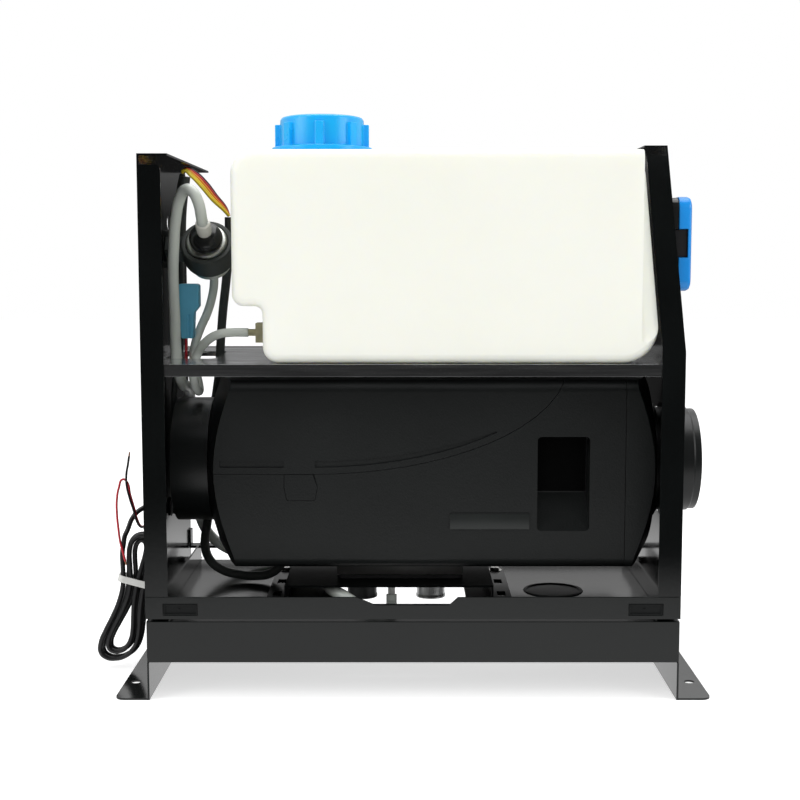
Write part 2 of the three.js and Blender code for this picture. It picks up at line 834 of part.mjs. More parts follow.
// The seam between the shells runs level, then sweeps up to the top edge.
const seamCurve = new THREE.CubicBezierCurve(
  new THREE.Vector2(seamBendStart, seamHeight),
  new THREE.Vector2(seamBendStart + 80, seamHeight),
  new THREE.Vector2(seamTopX - 21, seamHeight + 24),
  new THREE.Vector2(seamTopX, casingTop),
);

function aboveSeam() {
  const points = [
    new THREE.Vector2(casingLeft - 5, casingTop + 5),
    new THREE.Vector2(casingLeft - 5, seamHeight),
    ...seamCurve.getPoints(14),
    new THREE.Vector2(seamTopX + 1, casingTop + 5),
  ];
  return slabY(points, -casingHalf - 5, casingHalf + 5);
}

// Grooves beside the seam, one level and one that follows the sweep.
function grooves(y0, y1) {
  const level = slabY(
    rectangle(grooveLeft, grooveGapLeft, seamHeight + grooveAbove, seamHeight + grooveAbove + grooveWide),
    y0, y1,
  );
  const [near, far] = [[], []];
  const steps = 9;
  for (let k = 0; k <= steps; k += 1) {
    const t = (0.62 * k) / steps;
    const point = seamCurve.getPoint(t);
    const tangent = seamCurve.getTangent(t);
    const normal = new THREE.Vector2(-tangent.y, tangent.x);
    const fade = 1 - 0.75 * (k / steps) ** 3;
    near.push(point.clone().addScaledVector(normal, grooveAbove));
    far.push(point.clone().addScaledVector(normal, grooveAbove + grooveWide * fade));
  }
  const sweep = slabY([...near, ...far.reverse()], y0, y1);
  return join(level, sweep);
}

// Latch plate: a hexagon that hangs from the seam over the lower shell.
function clipOutline(extra) {
  const top = seamHeight + (extra ? 2 : -fit);
  return outline([
    [clipX - clipTopWide / 2 - 3 - extra, top, 0],
    [clipX - clipWide / 2 - extra, seamHeight - 10, 2],
    [clipX - clipBottomWide / 2 - extra, seamHeight - clipHigh - extra, 2],
    [clipX + clipBottomWide / 2 + extra, seamHeight - clipHigh - extra, 2],
    [clipX + clipWide / 2 + extra, seamHeight - 10, 2],
    [clipX + clipTopWide / 2 + extra, top, 0],
  ], 3);
}

const clipSeat = -casingHalf + clipThick - 0.4;

function windowPocket(grow, front0) {
  const mouth = rectangle(
    windowLeft - grow, windowRight + grow, windowBottom - grow, windowTop + grow, windowCorner + grow,
  );
  const shape = slabY(mouth, front0, -casingHalf + windowDeep + grow);
  const floor = outline([
    [-casingHalf - 4, windowTop + grow + 1, 0],
    [-casingHalf - 4, windowBottom - 5 - grow, 0],
    [-casingHalf + windowDeep + grow, windowSill - grow, 0],
    [-casingHalf + windowDeep + grow, windowTop + grow + 1, 0],
  ]);
  return common(shape, slabX(floor, windowLeft - grow - 1, windowRight + grow + 1));
}

// The casing between two stations along the heater.
function casingPart(x0, x1) {
  const [wide, low, high] = [casingHalf + 1, casingBottom - 1, casingTop + 1];
  return common(casingShell(), boxOf(x0, x1, -wide, wide, low, high));
}

function casingBody() {
  return casingPart(casingLeft - 1, hoodJoint - fit / 2);
}

function upperShell() {
  const shell = common(casingBody(), aboveSeam());
  const depth = grooveDeep;
  return cut(
    shell,
    grooves(-casingHalf - 1, -casingHalf + depth),
    grooves(casingHalf - depth, casingHalf + 1),
  );
}

function lowerShell() {
  const shell = cut(casingBody(), shifted(aboveSeam(), fit, 0, -fit));
  const padFace = rectangle(padLeft, padRight, padBottom, padTop, 2, 3);
  const pad = slabY(padFace, -casingHalf - padHigh, -casingHalf + 1);
  const pocket = common(windowPocket(2, -casingHalf), casingBlock(0));
  const clipRecess = slabY(clipOutline(fit), -casingHalf - 1, clipSeat + fit);
  return cut(join(shell, pad, pocket), windowPocket(0, -casingHalf - 3), clipRecess);
}

function outletHood() {
  return casingPart(hoodJoint + fit / 2, casingRight + 1);
}

add('heater_upper_shell', upperShell(), 'casing');
add('heater_lower_shell', lowerShell(), 'casing');
add('shell_clip', slabY(clipOutline(0), -casingHalf - 0.4, clipSeat), 'casing');
add('outlet_hood', outletHood(), 'casing');

// Warm-air collar: a spigot with a base flange and a stepped-in mouth.
function outletCollar() {
  const start = casingRight + fit;
  const lip = collarEnd - collarLip;
  const inner = collarRadius - collarWall;
  return turnedX([
    [inner, start], [collarBase, start], [collarBase, start + collarBaseThick],
    [collarRadius, start + collarBaseThick], [collarRadius, lip], [collarRadius - collarLipStep, lip + 0.8],
    [collarRadius - collarLipStep, collarEnd], [inner, collarEnd], [inner, start],
  ], 48);
}

add('outlet_collar', outletCollar(), 'casing');

// ---- Air inlet ring, guard, fan and motor ----------------------------------------------

function inletRing() {
  const start = casingLeft - fit;
  const inner = mouthLeft - inletWall;
  return turnedX([
    [inner, inletEnd], [mouthLeft, inletEnd], [mouthLeft, start], [inner, start], [inner, inletEnd],
  ], 48);
}

// Guard of rings on spokes, set into the ring's mouth.
function inletGuard() {
  const outer = mouthLeft - inletWall - fit;
  const [near, far] = [inletEnd + 0.5, inletEnd + 0.5 + guardThick];
  const rings = [];
  for (let k = 0; k < guardRings; k += 1) {
    const radius = outer - (k * (outer - 8)) / guardRings;
    rings.push(ring(radius - guardBar, radius, near, far, k === 0 ? 36 : 24));
  }
  const hub = rod(8, near, far, 16);
  const spokes = [];
  for (let k = 0; k < guardSpokes; k += 1) {
    const spoke = boxOf(near, far, -guardBar / 2, guardBar / 2, 6, outer - 1);
    const turn = new THREE.Matrix4().makeRotationX((2 * Math.PI * k) / guardSpokes);
    spokes.push(shifted(placed(spoke, turn), 0, 0, heaterAxisZ));
  }
  return join(hub, ...rings, ...spokes);
}

// Mixed-flow impeller: swept blades on a domed hub.
function fanImpeller() {
  const end = impellerStart + impellerLong;
  const hub = turnedX([
    [0, impellerStart], [impellerHub * 0.45, impellerStart], [impellerHub * 0.85, impellerStart + 4],
    [impellerHub, impellerStart + 9], [impellerHub, end], [0, end],
  ], 24);
  const bore = rod(shaftRadius + fit, impellerStart + 3, end + 1, 16);
  const chord = impellerLong - 3;
  const sweep = 14;
  const blades = [];
  for (let k = 0; k < impellerBlades; k += 1) {
    const arc = outline([
      [impellerStart + 1.5, -sweep / 2 - bladeThick / 2, 0],
      [impellerStart + chord * 0.5, -bladeThick * 1.4, 0],
      [impellerStart + 1.5 + chord, sweep / 2 - bladeThick / 2, 0],
      [impellerStart + 1.5 + chord, sweep / 2 + bladeThick / 2, 0],
      [impellerStart + chord * 0.5, -bladeThick * 0.2, 0],
      [impellerStart + 1.5, -sweep / 2 + bladeThick / 2, 0],
    ]);
    const blade = slabZ(arc, impellerHub - 6, impellerRadius);
    const turn = new THREE.Matrix4().makeRotationX((2 * Math.PI * k) / impellerBlades);
    blades.push(shifted(placed(blade, turn), 0, 0, heaterAxisZ));
  }
  const rim = rod(impellerRadius, impellerStart, end, 32);
  return cut(join(hub, common(join(...blades), rim)), bore);
}

const motorEnd = blowerEnd - blowerLong - fit;
const wheelEnd = blowerEnd - blowerWall - 2;

function motorShaft() {
  return rod(shaftRadius, impellerStart + 3 + fit, wheelEnd - 4 - fit, 16);
}

function fanMotor() {
  const start = motorEnd - motorLong;
  const can = turnedX([
    [0, start], [motorRadius - 8, start], [motorRadius - 8, start + 3], [motorRadius, start + 5],
    [motorRadius, motorEnd], [0, motorEnd],
  ], 32);
  return cut(can, rod(shaftRadius + fit, start - 1, motorEnd + 1, 16));
}

// Combustion-air wheel: a disc with short straight vanes.
function combustionWheel() {
  const start = wheelEnd - wheelLong;
  const disc = rod(wheelRadius, start, start + 2, 32);
  const hub = rod(9, start, wheelEnd - 2, 24);
  const vanes = [];
  for (let k = 0; k < wheelBlades; k += 1) {
    const vane = boxOf(start + 1, wheelEnd, -0.8, 0.8, wheelRadius * 0.5, wheelRadius - 0.4);
    const turn = new THREE.Matrix4().makeRotationX((2 * Math.PI * k) / wheelBlades);
    vanes.push(shifted(placed(vane, turn), 0, 0, heaterAxisZ));
  }
  return cut(join(disc, hub, ...vanes), rod(shaftRadius + fit, start - 1, wheelEnd - 4, 16));
}

function blowerHousing() {
  const start = blowerEnd - blowerLong;
  const cup = rod(blowerRadius, start, blowerEnd, 36);
  const chamber = rod(blowerRadius - blowerWall * 2, start + blowerWall, blowerEnd - blowerWall, 32);
  const eye = rod(blowerEye, start - 1, start + blowerWall + 1, 24);
  const throat = rod(blowerEye, blowerEnd - blowerWall - 1, blowerEnd + 1, 24);
  return cut(cup, chamber, eye, throat);
}

// Control unit: a finned-edge box saddled on the motor.
function controlUnit() {
  const low = heaterAxisZ + motorRadius + fit;
  const body = boxOf(boardLeft, boardLeft + boardWide, -boardDeep / 2, boardDeep / 2, low, low + boardHigh);
  const plugs = [-14, 2].map((y) =>
    boxOf(boardLeft + boardWide - 1, boardLeft + boardWide + 6.5, y, y + 12, low + 4, low + 13));
  return join(body, ...plugs);
}

add('inlet_ring', inletRing(), 'casing');
add('inlet_guard', inletGuard(), 'black');
add('fan_impeller', fanImpeller(), 'black');
add('motor_shaft', motorShaft(), 'steel');
add('fan_motor', fanMotor(), 'steel');
add('combustion_wheel', combustionWheel(), 'black');
add('blower_housing', blowerHousing(), 'cast');
add('control_unit', controlUnit(), 'black');

// ---- Burner and heat exchanger -----------------------------------------------------------

const burnerStart = blowerEnd + fit;
const exchangerStart = burnerStart + burnerFlangeThick + fit;
const gasketBottom = saddleTop + fit;
const baseBottom = gasketBottom + gasketThick + fit;

function burner() {
  const flange = rod(blowerRadius, burnerStart, burnerStart + burnerFlangeThick, 36);
  const tube = ring(burnerRadius - burnerWall, burnerRadius, burnerStart + 1, burnerStart + burnerLong, 32);
  const air = rod(blowerEye, burnerStart - 1, burnerStart + burnerFlangeThick + 1, 20);
  const top = heaterAxisZ + burnerRadius + 2;
  const plugHole = slabZ(circle(plugRadius + fit, 12, plugX, 0), heaterAxisZ, top);
  return cut(join(flange, tube), air, plugHole);
}

// One outline with every fin, extruded along the exchanger.
function finnedOutline() {
  const points = [];
  for (let k = 0; k < exchangerFins; k += 1) {
    const middle = (2 * Math.PI * (k + 0.5)) / exchangerFins;
    const root = finThick / 2 / exchangerCore;
    const tip = finThick / 2 / exchangerFin;
    const next = middle + Math.PI / exchangerFins;
    for (const [radius, angle] of [
      [exchangerCore, middle - root], [exchangerFin, middle - tip],
      [exchangerFin, middle + tip], [exchangerCore, middle + root], [exchangerCore, next],
    ]) {
      points.push(new THREE.Vector2(radius * Math.cos(angle), heaterAxisZ + radius * Math.sin(angle)));
    }
  }
  return points;
}

function heatExchanger() {
  const fins = slabX(finnedOutline(), exchangerStart + 1, exchangerEnd - 12);
  const nose = turnedX([
    [0, exchangerEnd - 14], [exchangerCore, exchangerEnd - 14], [exchangerCore, exchangerEnd - 8],
    [exchangerCore - 8, exchangerEnd], [0, exchangerEnd],
  ], 24);
  const flange = rod(blowerRadius, exchangerStart, exchangerStart + exchangerFlange, 40);
  const base = boxOf(baseLeft, baseRight, -baseHalf, baseHalf, baseBottom, heaterAxisZ - exchangerBore);
  const bore = rod(exchangerBore, exchangerStart - 1, exchangerEnd - exchangerClosed, 24);
  const plugHole = slabZ(circle(plugHex + 1, 12, plugX, 0), heaterAxisZ, heaterAxisZ + exchangerFin + 2);
  return cut(join(fins, nose, flange, base), bore, plugHole);
}

// Glow plug: a thin heater tip under a hexagon and a terminal.
function glowPlug() {
  const tip = slabZ(circle(plugRadius, 12, plugX, 0), heaterAxisZ + 14, heaterAxisZ + 40);
  const hexagon = slabZ(circle(plugHex, 6, plugX, 0), heaterAxisZ + 38, heaterAxisZ + 46);
  const terminal = slabZ(circle(plugRadius - 0.6, 12, plugX, 0), heaterAxisZ + 45, heaterAxisZ + plugTop);
  return join(tip, hexagon, terminal);
}

const stubHoles = [
  [exhaustX, exhaustRadius],
  [intakeX, intakeRadius],
  [fuelStubX, fuelStubRadius],
];

function stubClearances(low, high) {
  return stubHoles.map(([x, radius]) => slabZ(circle(radius + stubClear, 20, x, stubY), low, high));
}

function mountGasket() {
  const plate = slabZ(
    rectangle(baseLeft, baseRight, -baseHalf, baseHalf, 6), gasketBottom, gasketBottom + gasketThick,
  );
  return cut(plate, ...stubClearances(gasketBottom - 1, gasketBottom + gasketThick + 1));
}

function pipeStub(x, radius) {
  const [low, high] = [stubBottom, baseBottom - fit];
  const bore = radius - stubWall;
  const pipe = turnedZ([
    [bore, low], [radius, low], [radius, low + 2], [radius - 0.6, low + 3.4], [radius - 0.6, high - 5],
    [radius, high - 4], [radius, high], [bore, high], [bore, low],
  ], 24);
  return shifted(pipe, x, stubY, 0);
}

function fuelStub() {
  return slabZ(circle(fuelStubRadius, 12, fuelStubX, stubY), fuelStubBottom, baseBottom - fit);
}

add('burner', burner(), 'steel');
add('heat_exchanger', heatExchanger(), 'cast');
add('glow_plug', glowPlug(), 'steel');
add('mount_gasket', mountGasket(), 'rubber');
add('exhaust_stub', pipeStub(exhaustX, exhaustRadius), 'steel');
add('intake_stub', pipeStub(intakeX, intakeRadius), 'black');
add('fuel_stub', fuelStub(), 'white');

// ---- Saddle plate on the tray --------------------------------------------------------------

function saddlePlate() {
  const low = trayTop + fit;
  const plate = boxOf(saddleLeft, saddleRight, -saddleHalf, saddleHalf, saddleTop - sheet, saddleTop);
  const legs = [[saddleLeft, saddleLeft + sheet], [saddleRight - sheet, saddleRight]].map(([x0, x1]) =>
    boxOf(x0, x1, -saddleHalf, saddleHalf, low, saddleTop));
  const feet = [
    [saddleLeft - saddleFoot, saddleLeft + sheet],
    [saddleRight - sheet, saddleRight + saddleFoot],
  ].map(([x0, x1]) => boxOf(x0, x1, -saddleHalf, saddleHalf, low, low + sheet));
  const slots = [saddleLeft - saddleFoot / 2, saddleRight + saddleFoot / 2].flatMap((x) =>
    [-1, 0, 1].map((k) => boxOf(
      x - saddleSlotWide / 2, x + saddleSlotWide / 2,
      k * saddleSlotPitch - saddleSlotLong / 2, k * saddleSlotPitch + saddleSlotLong / 2, low - 1, low + 3,
    )));
  return cut(join(plate, ...legs, ...feet), ...slots, ...stubClearances(saddleTop - 3, saddleTop + 1));
}

add('saddle_plate', saddlePlate(), 'frame');

// ---- Controller on the right panel ----------------------------------------------------------

const controlX = halfWidth + fit;
const bezelX = controlX + controlBaseThick + fit;
const bezelFace = controlX + controlThick;

const controlOutline = (inset) => rectangle(
  controlFront + inset, controlBack - inset, controlBottom + inset, controlTop - inset,
  controlCorner - inset,
);

function controllerNotch() {
  return boxOf(
    controlX + 2.5, bezelFace - 3, controlFront - 1, controlFront + controlNotchDeep,
    controlNotchLow, controlNotchHigh,
  );
}

function controllerBase() {
  return cut(slabX(controlOutline(0.6), controlX, controlX + controlBaseThick), controllerNotch());
}

function buttonAt(k, radius, x0, x1) {
  return slabX(circle(radius, 20, buttonFirst + k * buttonPitch, buttonRow), x0, x1);
}

function controllerBezel() {
  const straight = slabX(controlOutline(0), bezelX, bezelFace - controlBevel);
  const core = 0.01;
  const bevelled = new THREE.ExtrudeGeometry(new THREE.Shape(controlOutline(0)), {
    depth: core,
    bevelThickness: controlBevel,
    bevelSize: controlBevel,
    bevelOffset: -controlBevel,
    bevelSegments: 2,
  }).rotateX(Math.PI / 2).rotateZ(Math.PI / 2);
  const face = solid(bevelled.translate(bezelFace - controlBevel - core, 0, 0));
  const recess = boxOf(
    bezelFace - screenDeep, bezelFace + 1, screenFront, screenBack, screenLow, screenHigh,
  );
  const wells = [];
  for (let k = 0; k < buttonCount; k += 1) {
    wells.push(buttonAt(k, buttonRadius + fit, bezelFace - buttonWell, bezelFace + 1));
  }
  const trim = boxOf(
    bezelX, bezelFace + 1, controlFront - 1, controlBack + 1, controlBottom - 1, controlTop + 1,
  );
  return cut(join(straight, common(face, trim)), recess, controllerNotch(), ...wells);
}

function controllerScreen() {
  const back = bezelFace - screenDeep + fit;
  return boxOf(
    back, back + screenThick, screenFront + fit, screenBack - fit, screenLow + fit, screenHigh - fit,
  );
}

add('controller_base', controllerBase(), 'black');
add('controller_bezel', controllerBezel(), 'blue');
add('controller_screen', controllerScreen(), 'glass');
for (let k = 0; k < buttonCount; k += 1) {
  const out = bezelFace + buttonProud;
  add(`controller_button_${k + 1}`, buttonAt(k, buttonRadius, out - buttonLong, out), 'blue');
}

// ---- Dosing pump -------------------------------------------------------------------------------

// Places a piece built along local X, with its local origin in the holder, on the pump's axis.
const pumpFrame = new THREE.Matrix4()
  .makeTranslation(pumpX, pumpY, pumpZ)
  .multiply(new THREE.Matrix4().makeRotationX(-THREE.MathUtils.degToRad(pumpTilt)))
  .multiply(new THREE.Matrix4().makeRotationZ(-Math.PI / 2));
const onPump = (piece) => placed(piece, pumpFrame);

function alongPump(profile, sides) {
  const points = profile.map(([radius, along]) => new THREE.Vector2(radius, along));
  return solid(new THREE.LatheGeometry(points, sides).rotateZ(-Math.PI / 2));
}

function pumpBody() {
  const back = -pumpBack;
  const can = alongPump([
    [0, back], [pumpRadius - 3, back], [pumpRadius, back + 3], [pumpRadius, pumpFront - pumpEdge],
    [pumpRadius - 0.9, pumpFront - 0.9], [pumpRadius - pumpEdge, pumpFront], [0, pumpFront],
  ], 32);
  const spigot = alongPump([
    [0, back - inletSpigotLong], [inletSpigot, back - inletSpigotLong],
    [inletSpigot, back + 1], [0, back + 1],
  ], 12);
  const bore = alongPump([
    [0, pumpFront - pumpBoreDepth], [plungerRadius + fit, pumpFront - pumpBoreDepth],
    [plungerRadius + fit, pumpFront + 1], [0, pumpFront + 1],
  ], 20);
  return onPump(cut(join(can, spigot), bore));
}

function pumpPlunger() {
  const start = pumpFront - pumpBoreDepth + fit;
  return onPump(alongPump([
    [0, start], [plungerRadius, start], [plungerRadius, start + plungerLong],
    [0, start + plungerLong],
  ], 20));
}

// Moulded end with a dome and the widening outlet nozzle.
function pumpEndCap() {
  const start = pumpFront + fit;
  const end = start + pumpCapLong + nozzleLong;
  return onPump(alongPump([
    [0, start], [pumpCapRadius, start], [pumpCapRadius, start + 3], [pumpCapRadius * 0.92, start + 6],
    [pumpCapRadius * 0.66, start + 8.2], [nozzleNarrow, start + pumpCapLong],
    [nozzleNarrow + 0.6, start + pumpCapLong + 2], [nozzleWide, end - 4], [nozzleWide, end], [0, end],
  ], 24));
}

const lugEnd = -panelInner + fit + sheet + fit;

function pumpHolder() {
  const band = alongPump([
    [pumpRadius + fit, -holderLong / 2], [holderOuter, -holderLong / 2], [holderOuter, holderLong / 2],
    [pumpRadius + fit, holderLong / 2], [pumpRadius + fit, -holderLong / 2],
  ], 32);
  const reach = pumpX - lugEnd;
  const lug = boxOf(
    -holderLong / 2 + 2, holderLong / 2 - 2, -reach, -(pumpRadius + 2), -holderLug / 2, holderLug / 2,
  );
  return onPump(join(band, lug));
}

function pumpBracket() {
  const plate = boxOf(
    -panelInner + fit, -panelInner + fit + sheet, -bracketWide / 2, bracketWide / 2,
    -bracketHigh / 2, bracketHigh / 2,
  );
  return shifted(plate, 0, pumpY, pumpZ);
}

add('pump_body', pumpBody(), 'steel');
add('pump_plunger', pumpPlunger(), 'steel');
add('pump_end_cap', pumpEndCap(), 'black');
add('pump_holder', pumpHolder(), 'rubber');
add('pump_bracket', pumpBracket(), 'frame');

// A point on the pump's axis, measured from the holder's middle towards the nozzle.
function pumpPoint(along) {
  const tilt = THREE.MathUtils.degToRad(pumpTilt);
  return [pumpX, pumpY - along * Math.cos(tilt), pumpZ + along * Math.sin(tilt)];
}

// ---- Hoses and wiring held by the frame ----------------------------------------------------------

const nozzleEnd = pumpFront + fit + pumpCapLong + nozzleLong + fit;
const spigotEnd = -pumpBack - inletSpigotLong - fit;

// From the pump's nozzle over and down the left side, behind the heater and up to its stub.
const outletHoseRoute = [
  pumpPoint(nozzleEnd),
  pumpPoint(nozzleEnd + 5),
  [-164.5, -50, 374],
  [-168.5, -49, 381],
  [-174.5, -44, 383],
  [-180.5, -37, 376],
  [-184.5, -32, 362],
  [-187, -29, 340],
  [-188.5, -25, 315],
  [-188.5, -21, 285],
  [-188.5, -19, 262],
  [-187.6, -14, 242],
  [-186.8, 2, 229],
  [-186.8, 26, 224],
  [-187.6, 46, 212],
  [-188.5, 58, 192],
  [-188.5, 62, 168],
  [-188, 60, 140],
  [-184, 57, 114],
  [-174, 56, 93],
  [-156, 58, 79],
  [-134, 64, 71],
  [-112, 68, 68.6],
  [-92, 67, 68.4],
  [-76, 54, 68.4],
  [-69, 30, 68.4],
  [-68.5, 0, 68.4],
  [-68, -24, 68.4],
  [-64, -42, 68.4],
  [-56, -53, 68],
  [-45, -57, 62],
  [-33, -53, 54],
  [-23, -42, 47],
  [-18, -29, 43.5],
  [fuelStubX, -17, 45],
  [fuelStubX, stubY - 0.6, 51],
  [fuelStubX, stubY, fuelStubBottom - 0.8],
];

// From the tank's fitting through the shelf, round below it and back up to the pump.
const supplyHoseRoute = [
  [fittingX - outletNutThick - outletBarbLong - fit, outletY, fittingZ],
  [-139, outletY, fittingZ],
  [-150, -48.5, 272],
  [-160, -43, 266.5],
  [-168, -37, 257],
  [-172.5, -33, 244],
  [-172.5, -29, 232],
  [-171, -20, 225],
  [-171.5, -9, 226.5],
  [-174.5, -1.5, 236],
  [-178, 5, 248],
  [-178, 11.5, 259],
  [-174.5, 18.5, 272],
  [-169, 25, 286],
  [-165.5, 29, 299],
  [-163.2, 25, 311],
  pumpPoint(spigotEnd - 3),
  pumpPoint(spigotEnd),
];

// Sleeved loom from the wires at the top, down behind the inlet and under the casing.
const loomTop = [-151, 32, 364];
const wiringLoomRoute = [
  loomTop,
  [-151.5, 32.5, 345],
  [-154, 33.5, 315],
  [-157.5, 33, 285],
  [-159.5, 31.5, 258],
  [-161, 34, 238],
  [-165, 46, 220],
  [-169, 58, 203],
  [-171, 65, 182],
  [-172, 64, 152],
  [-172.5, 54, 126],
  [-174, 40, 106],
  [-174, 25, 91],
  [-168, 14, 80],
  [-158, 9, 73.5],
  [-145, 7, 70],
  [-130, 5.5, 69],
  [-117, 4, 71.5],
  [-108.5, 3, 79],
  [-106, 2.5, 86],
  [-106, 2.5, casingBottom - fit],
];

// Supply loom along the inside of the left panel, from the cord's grommet to the top.
const supplyLoomTop = [-186, 14, 398];
const supplyLoomRoute = [
  [-194.1, cordExitY, cordExitZ - 6],
  [-194.1, cordExitY, cordExitZ + 10],
  [-194.1, cordExitY, 165],
  [-194.1, cordExitY, 200],
  [-194.1, 4, 222],
  [-192.8, 9, 239],
  [-191.1, 13.5, 249],
  [-190.2, 18, 262],
  [-190, 22, 285],
  [-190, 24, 325],
  [-190, 21, 360],
  [-189, 16, 385],
  supplyLoomTop,
];

const signalWiresRoute = [
  [supplyLoomTop[0] + 0.2, supplyLoomTop[1], supplyLoomTop[2] + 0.9],
  [-183.5, 14.5, 402],
  [-176, 17.5, 398.5],
  [-168, 21.5, 390.5],
  [-160, 26, 379.5],
  [-153.5, 30.5, 371],
  [loomTop[0] - 0.1, loomTop[1] - 0.1, loomTop[2] + 0.9],
];

const redLeadsRoute = [
  [connectorX - 3, connectorY - 1, connectorTop - connectorHigh - fit],
  [connectorX - 3.2, connectorY - 1, 258],
  [connectorX - 4.2, connectorY + 0.5, 248],
  [connectorX - 7.5, connectorY + 4, 240],
  [-189.4, 8.2, 237.2],
];

// Strands that lie side by side, as one flat section.
const ribbon = (strands, radius) =>
  rectangle(-strands * radius * 0.85, strands * radius * 0.85, -radius, radius, radius * 0.9, 1);

// Connector: a shouldered shell over the leads' housings.
function blueConnector() {
  const low = connectorTop - connectorHigh;
  const half = connectorDeep / 2;
  const face = outline([
    [connectorX - connectorWide / 2 + 2, low, 0],
    [connectorX + connectorWide / 2 - 5, low, 0],
    [connectorX + connectorWide / 2 - 4, low + 21, 1],
    [connectorX + connectorWide / 2, low + 26, 1],
    [connectorX + connectorWide / 2, connectorTop, 2],
    [connectorX - connectorWide / 2, connectorTop, 2],
    [connectorX - connectorWide / 2, low + 22, 1],
  ], 2);
  const shell = slabY(face, connectorY - half, connectorY + half);
  const groove = boxOf(
    connectorX - 1, connectorX + 0.6, connectorY - half - 1, connectorY - half + 1.2, low - 1, low + 19,
  );
  return cut(shell, groove);
}

add('fuel_hose_outlet', swept(outletHoseRoute, circle(hoseRadius, 6), 74), 'hose');
add('fuel_hose_supply', swept(supplyHoseRoute, circle(supplyHoseRadius, 6), 36), 'hose');
add('wiring_loom', swept(wiringLoomRoute, circle(sleeveRadius, 6), 42), 'black');
add('supply_loom', swept(supplyLoomRoute, circle(leadRadius, 6), 22), 'black');
add('signal_wires', swept(signalWiresRoute, ribbon(3, wireRadius), 14), 'yellow');
add('blue_connector', blueConnector(), 'connector');
add('red_leads', swept(redLeadsRoute, ribbon(2, wireRadius), 8), 'red');

// ---- Power cord -------------------------------------------------------------------------------------

const cordRadius = cordDiameter / 2;

function cordGrommet() {
  const outer = -halfWidth - fit;
  const inner = -panelInner + fit;
  const profile = [
    [0, outer - 6], [cordRadius + 0.8, outer - 6], [grommetBoss, outer - 2.4], [grommetFlange, outer - 2],
    [grommetFlange, outer], [grommetNeck, outer], [grommetNeck, inner], [grommetFlange, inner],
    [grommetFlange, inner + 1], [0, inner + 1],
  ].map(([radius, along]) => new THREE.Vector2(radius, along));
  const turned = solid(new THREE.LatheGeometry(profile, 20).rotateZ(-Math.PI / 2));
  return shifted(turned, 0, cordExitY, cordExitZ);
}

// Half the hank's width at a height, for a loop that lies the given number of pitches inside
// the outermost one: a parabola through its upper lobe, its tied waist and its lower lobe.
function hankHalf(level, inside, waistLevel) {
  const less = inside * hankPitch;
  const knots = [
    [0.75, hankUpperHalf - less],
    [waistLevel, (hankTurns / 2 - 0.02) * hankPitch - less],
    [-0.62, hankLowerHalf - less],
  ];
  let half = 0;
  knots.forEach(([at, wide], i) => {
    let term = wide / Math.sqrt(1 - at * at);
    knots.forEach(([other], j) => {
      if (j !== i) term *= (level - other) / (at - other);
    });
    half += term;
  });
  return half;
}

// One unbroken cord: its loops spiral inwards in the front layer, climb to the back layer over
// the top, and spiral out again.
class HankCurve extends THREE.Curve {
  getPoint(share, target = new THREE.Vector3()) {
    const turn = hankStart + share * (hankTurns - hankStart);
    const middle = hankTurns / 2;
    const climb = THREE.MathUtils.clamp((turn - (middle - 0.25)) / 0.5, 0, 1);
    const inside = Math.min(turn, hankTurns - turn, middle - 0.25);
    const angle = 2 * Math.PI * turn;
    const centre = (hankTop + hankBottom) / 2;
    const reach = (hankTop - hankBottom) / 2 - inside * hankPitch;
    const level = Math.cos(angle);
    const height = centre + reach * level;
    const drop = hankWaist - height;
    const lean = drop > 0
      ? -hankLean * (drop / (hankWaist - hankBottom)) ** hankLeanCurve
      : -drop * hankRise;
    const side = -Math.sin(angle) * hankHalf(level, inside, (hankWaist - centre) / reach);
    return target.set(hankWaistX + lean + side, hankY + (climb - 0.5) * hankPitch, height);
  }

  getPointAt(share, target) {
    return this.getPoint(share, target);
  }

  getTangentAt(share, target) {
    return this.getTangent(share, target);
  }
}

const hankCurve = new HankCurve();
const hankSteps = Math.round(24 * (hankTurns - hankStart));

// The least gap between two stretches of the hank that are more than a few diameters apart.
function hankSelfGap() {
  const nodes = hankCurve.getPoints(hankSteps);
  const fine = [];
  for (let i = 0; i < hankSteps; i += 1) {
    for (let k = 0; k < 6; k += 1) fine.push(nodes[i].clone().lerp(nodes[i + 1], k / 6));
  }
  let least = Infinity;
  let run = 0;
  const along = fine.map((point, i) => {
    run += i ? point.distanceTo(fine[i - 1]) : 0;
    return run;
  });
  for (let i = 0; i < fine.length; i += 1) {
    for (let j = i + 1; j < fine.length; j += 1) {
      if (along[j] - along[i] > 5 * cordDiameter) least = Math.min(least, fine[i].distanceTo(fine[j]));
    }
  }
  return { gap: least - cordDiameter, length: run };
}

const hankFacts = hankSelfGap();
console.log(`hank: least gap ${hankFacts.gap.toFixed(2)} mm, length ${hankFacts.length.toFixed(0)} mm`);

function powerCordHank() {
  const shape = new THREE.Shape(circle(cordRadius, 6));
  const sweep = { steps: hankSteps, extrudePath: hankCurve, bevelEnabled: false };
  return solid(new THREE.ExtrudeGeometry(shape, sweep));
}

// Free stretch from the grommet's boss to the first loop.
function powerCord() {
  const start = hankCurve.getPoint(0);
  const heading = hankCurve.getTangent(0);
  const back = (distance) => start.clone().addScaledVector(heading, -distance).toArray();
  const exitX = -halfWidth - fit - 6 - fit;
  const route = [
    [exitX, cordExitY, cordExitZ],
    [exitX - 4, cordExitY, cordExitZ],
    [-214.5, 0.5, 128.6],
    [-221, -6, 127],
    [-226.5, -14, 121.5],
    [-229.4, -20.5, 113],
    back(fit + 3.5),
    back(fit),
  ];
  return swept(route, circle(cordRadius, 8), 12);
}

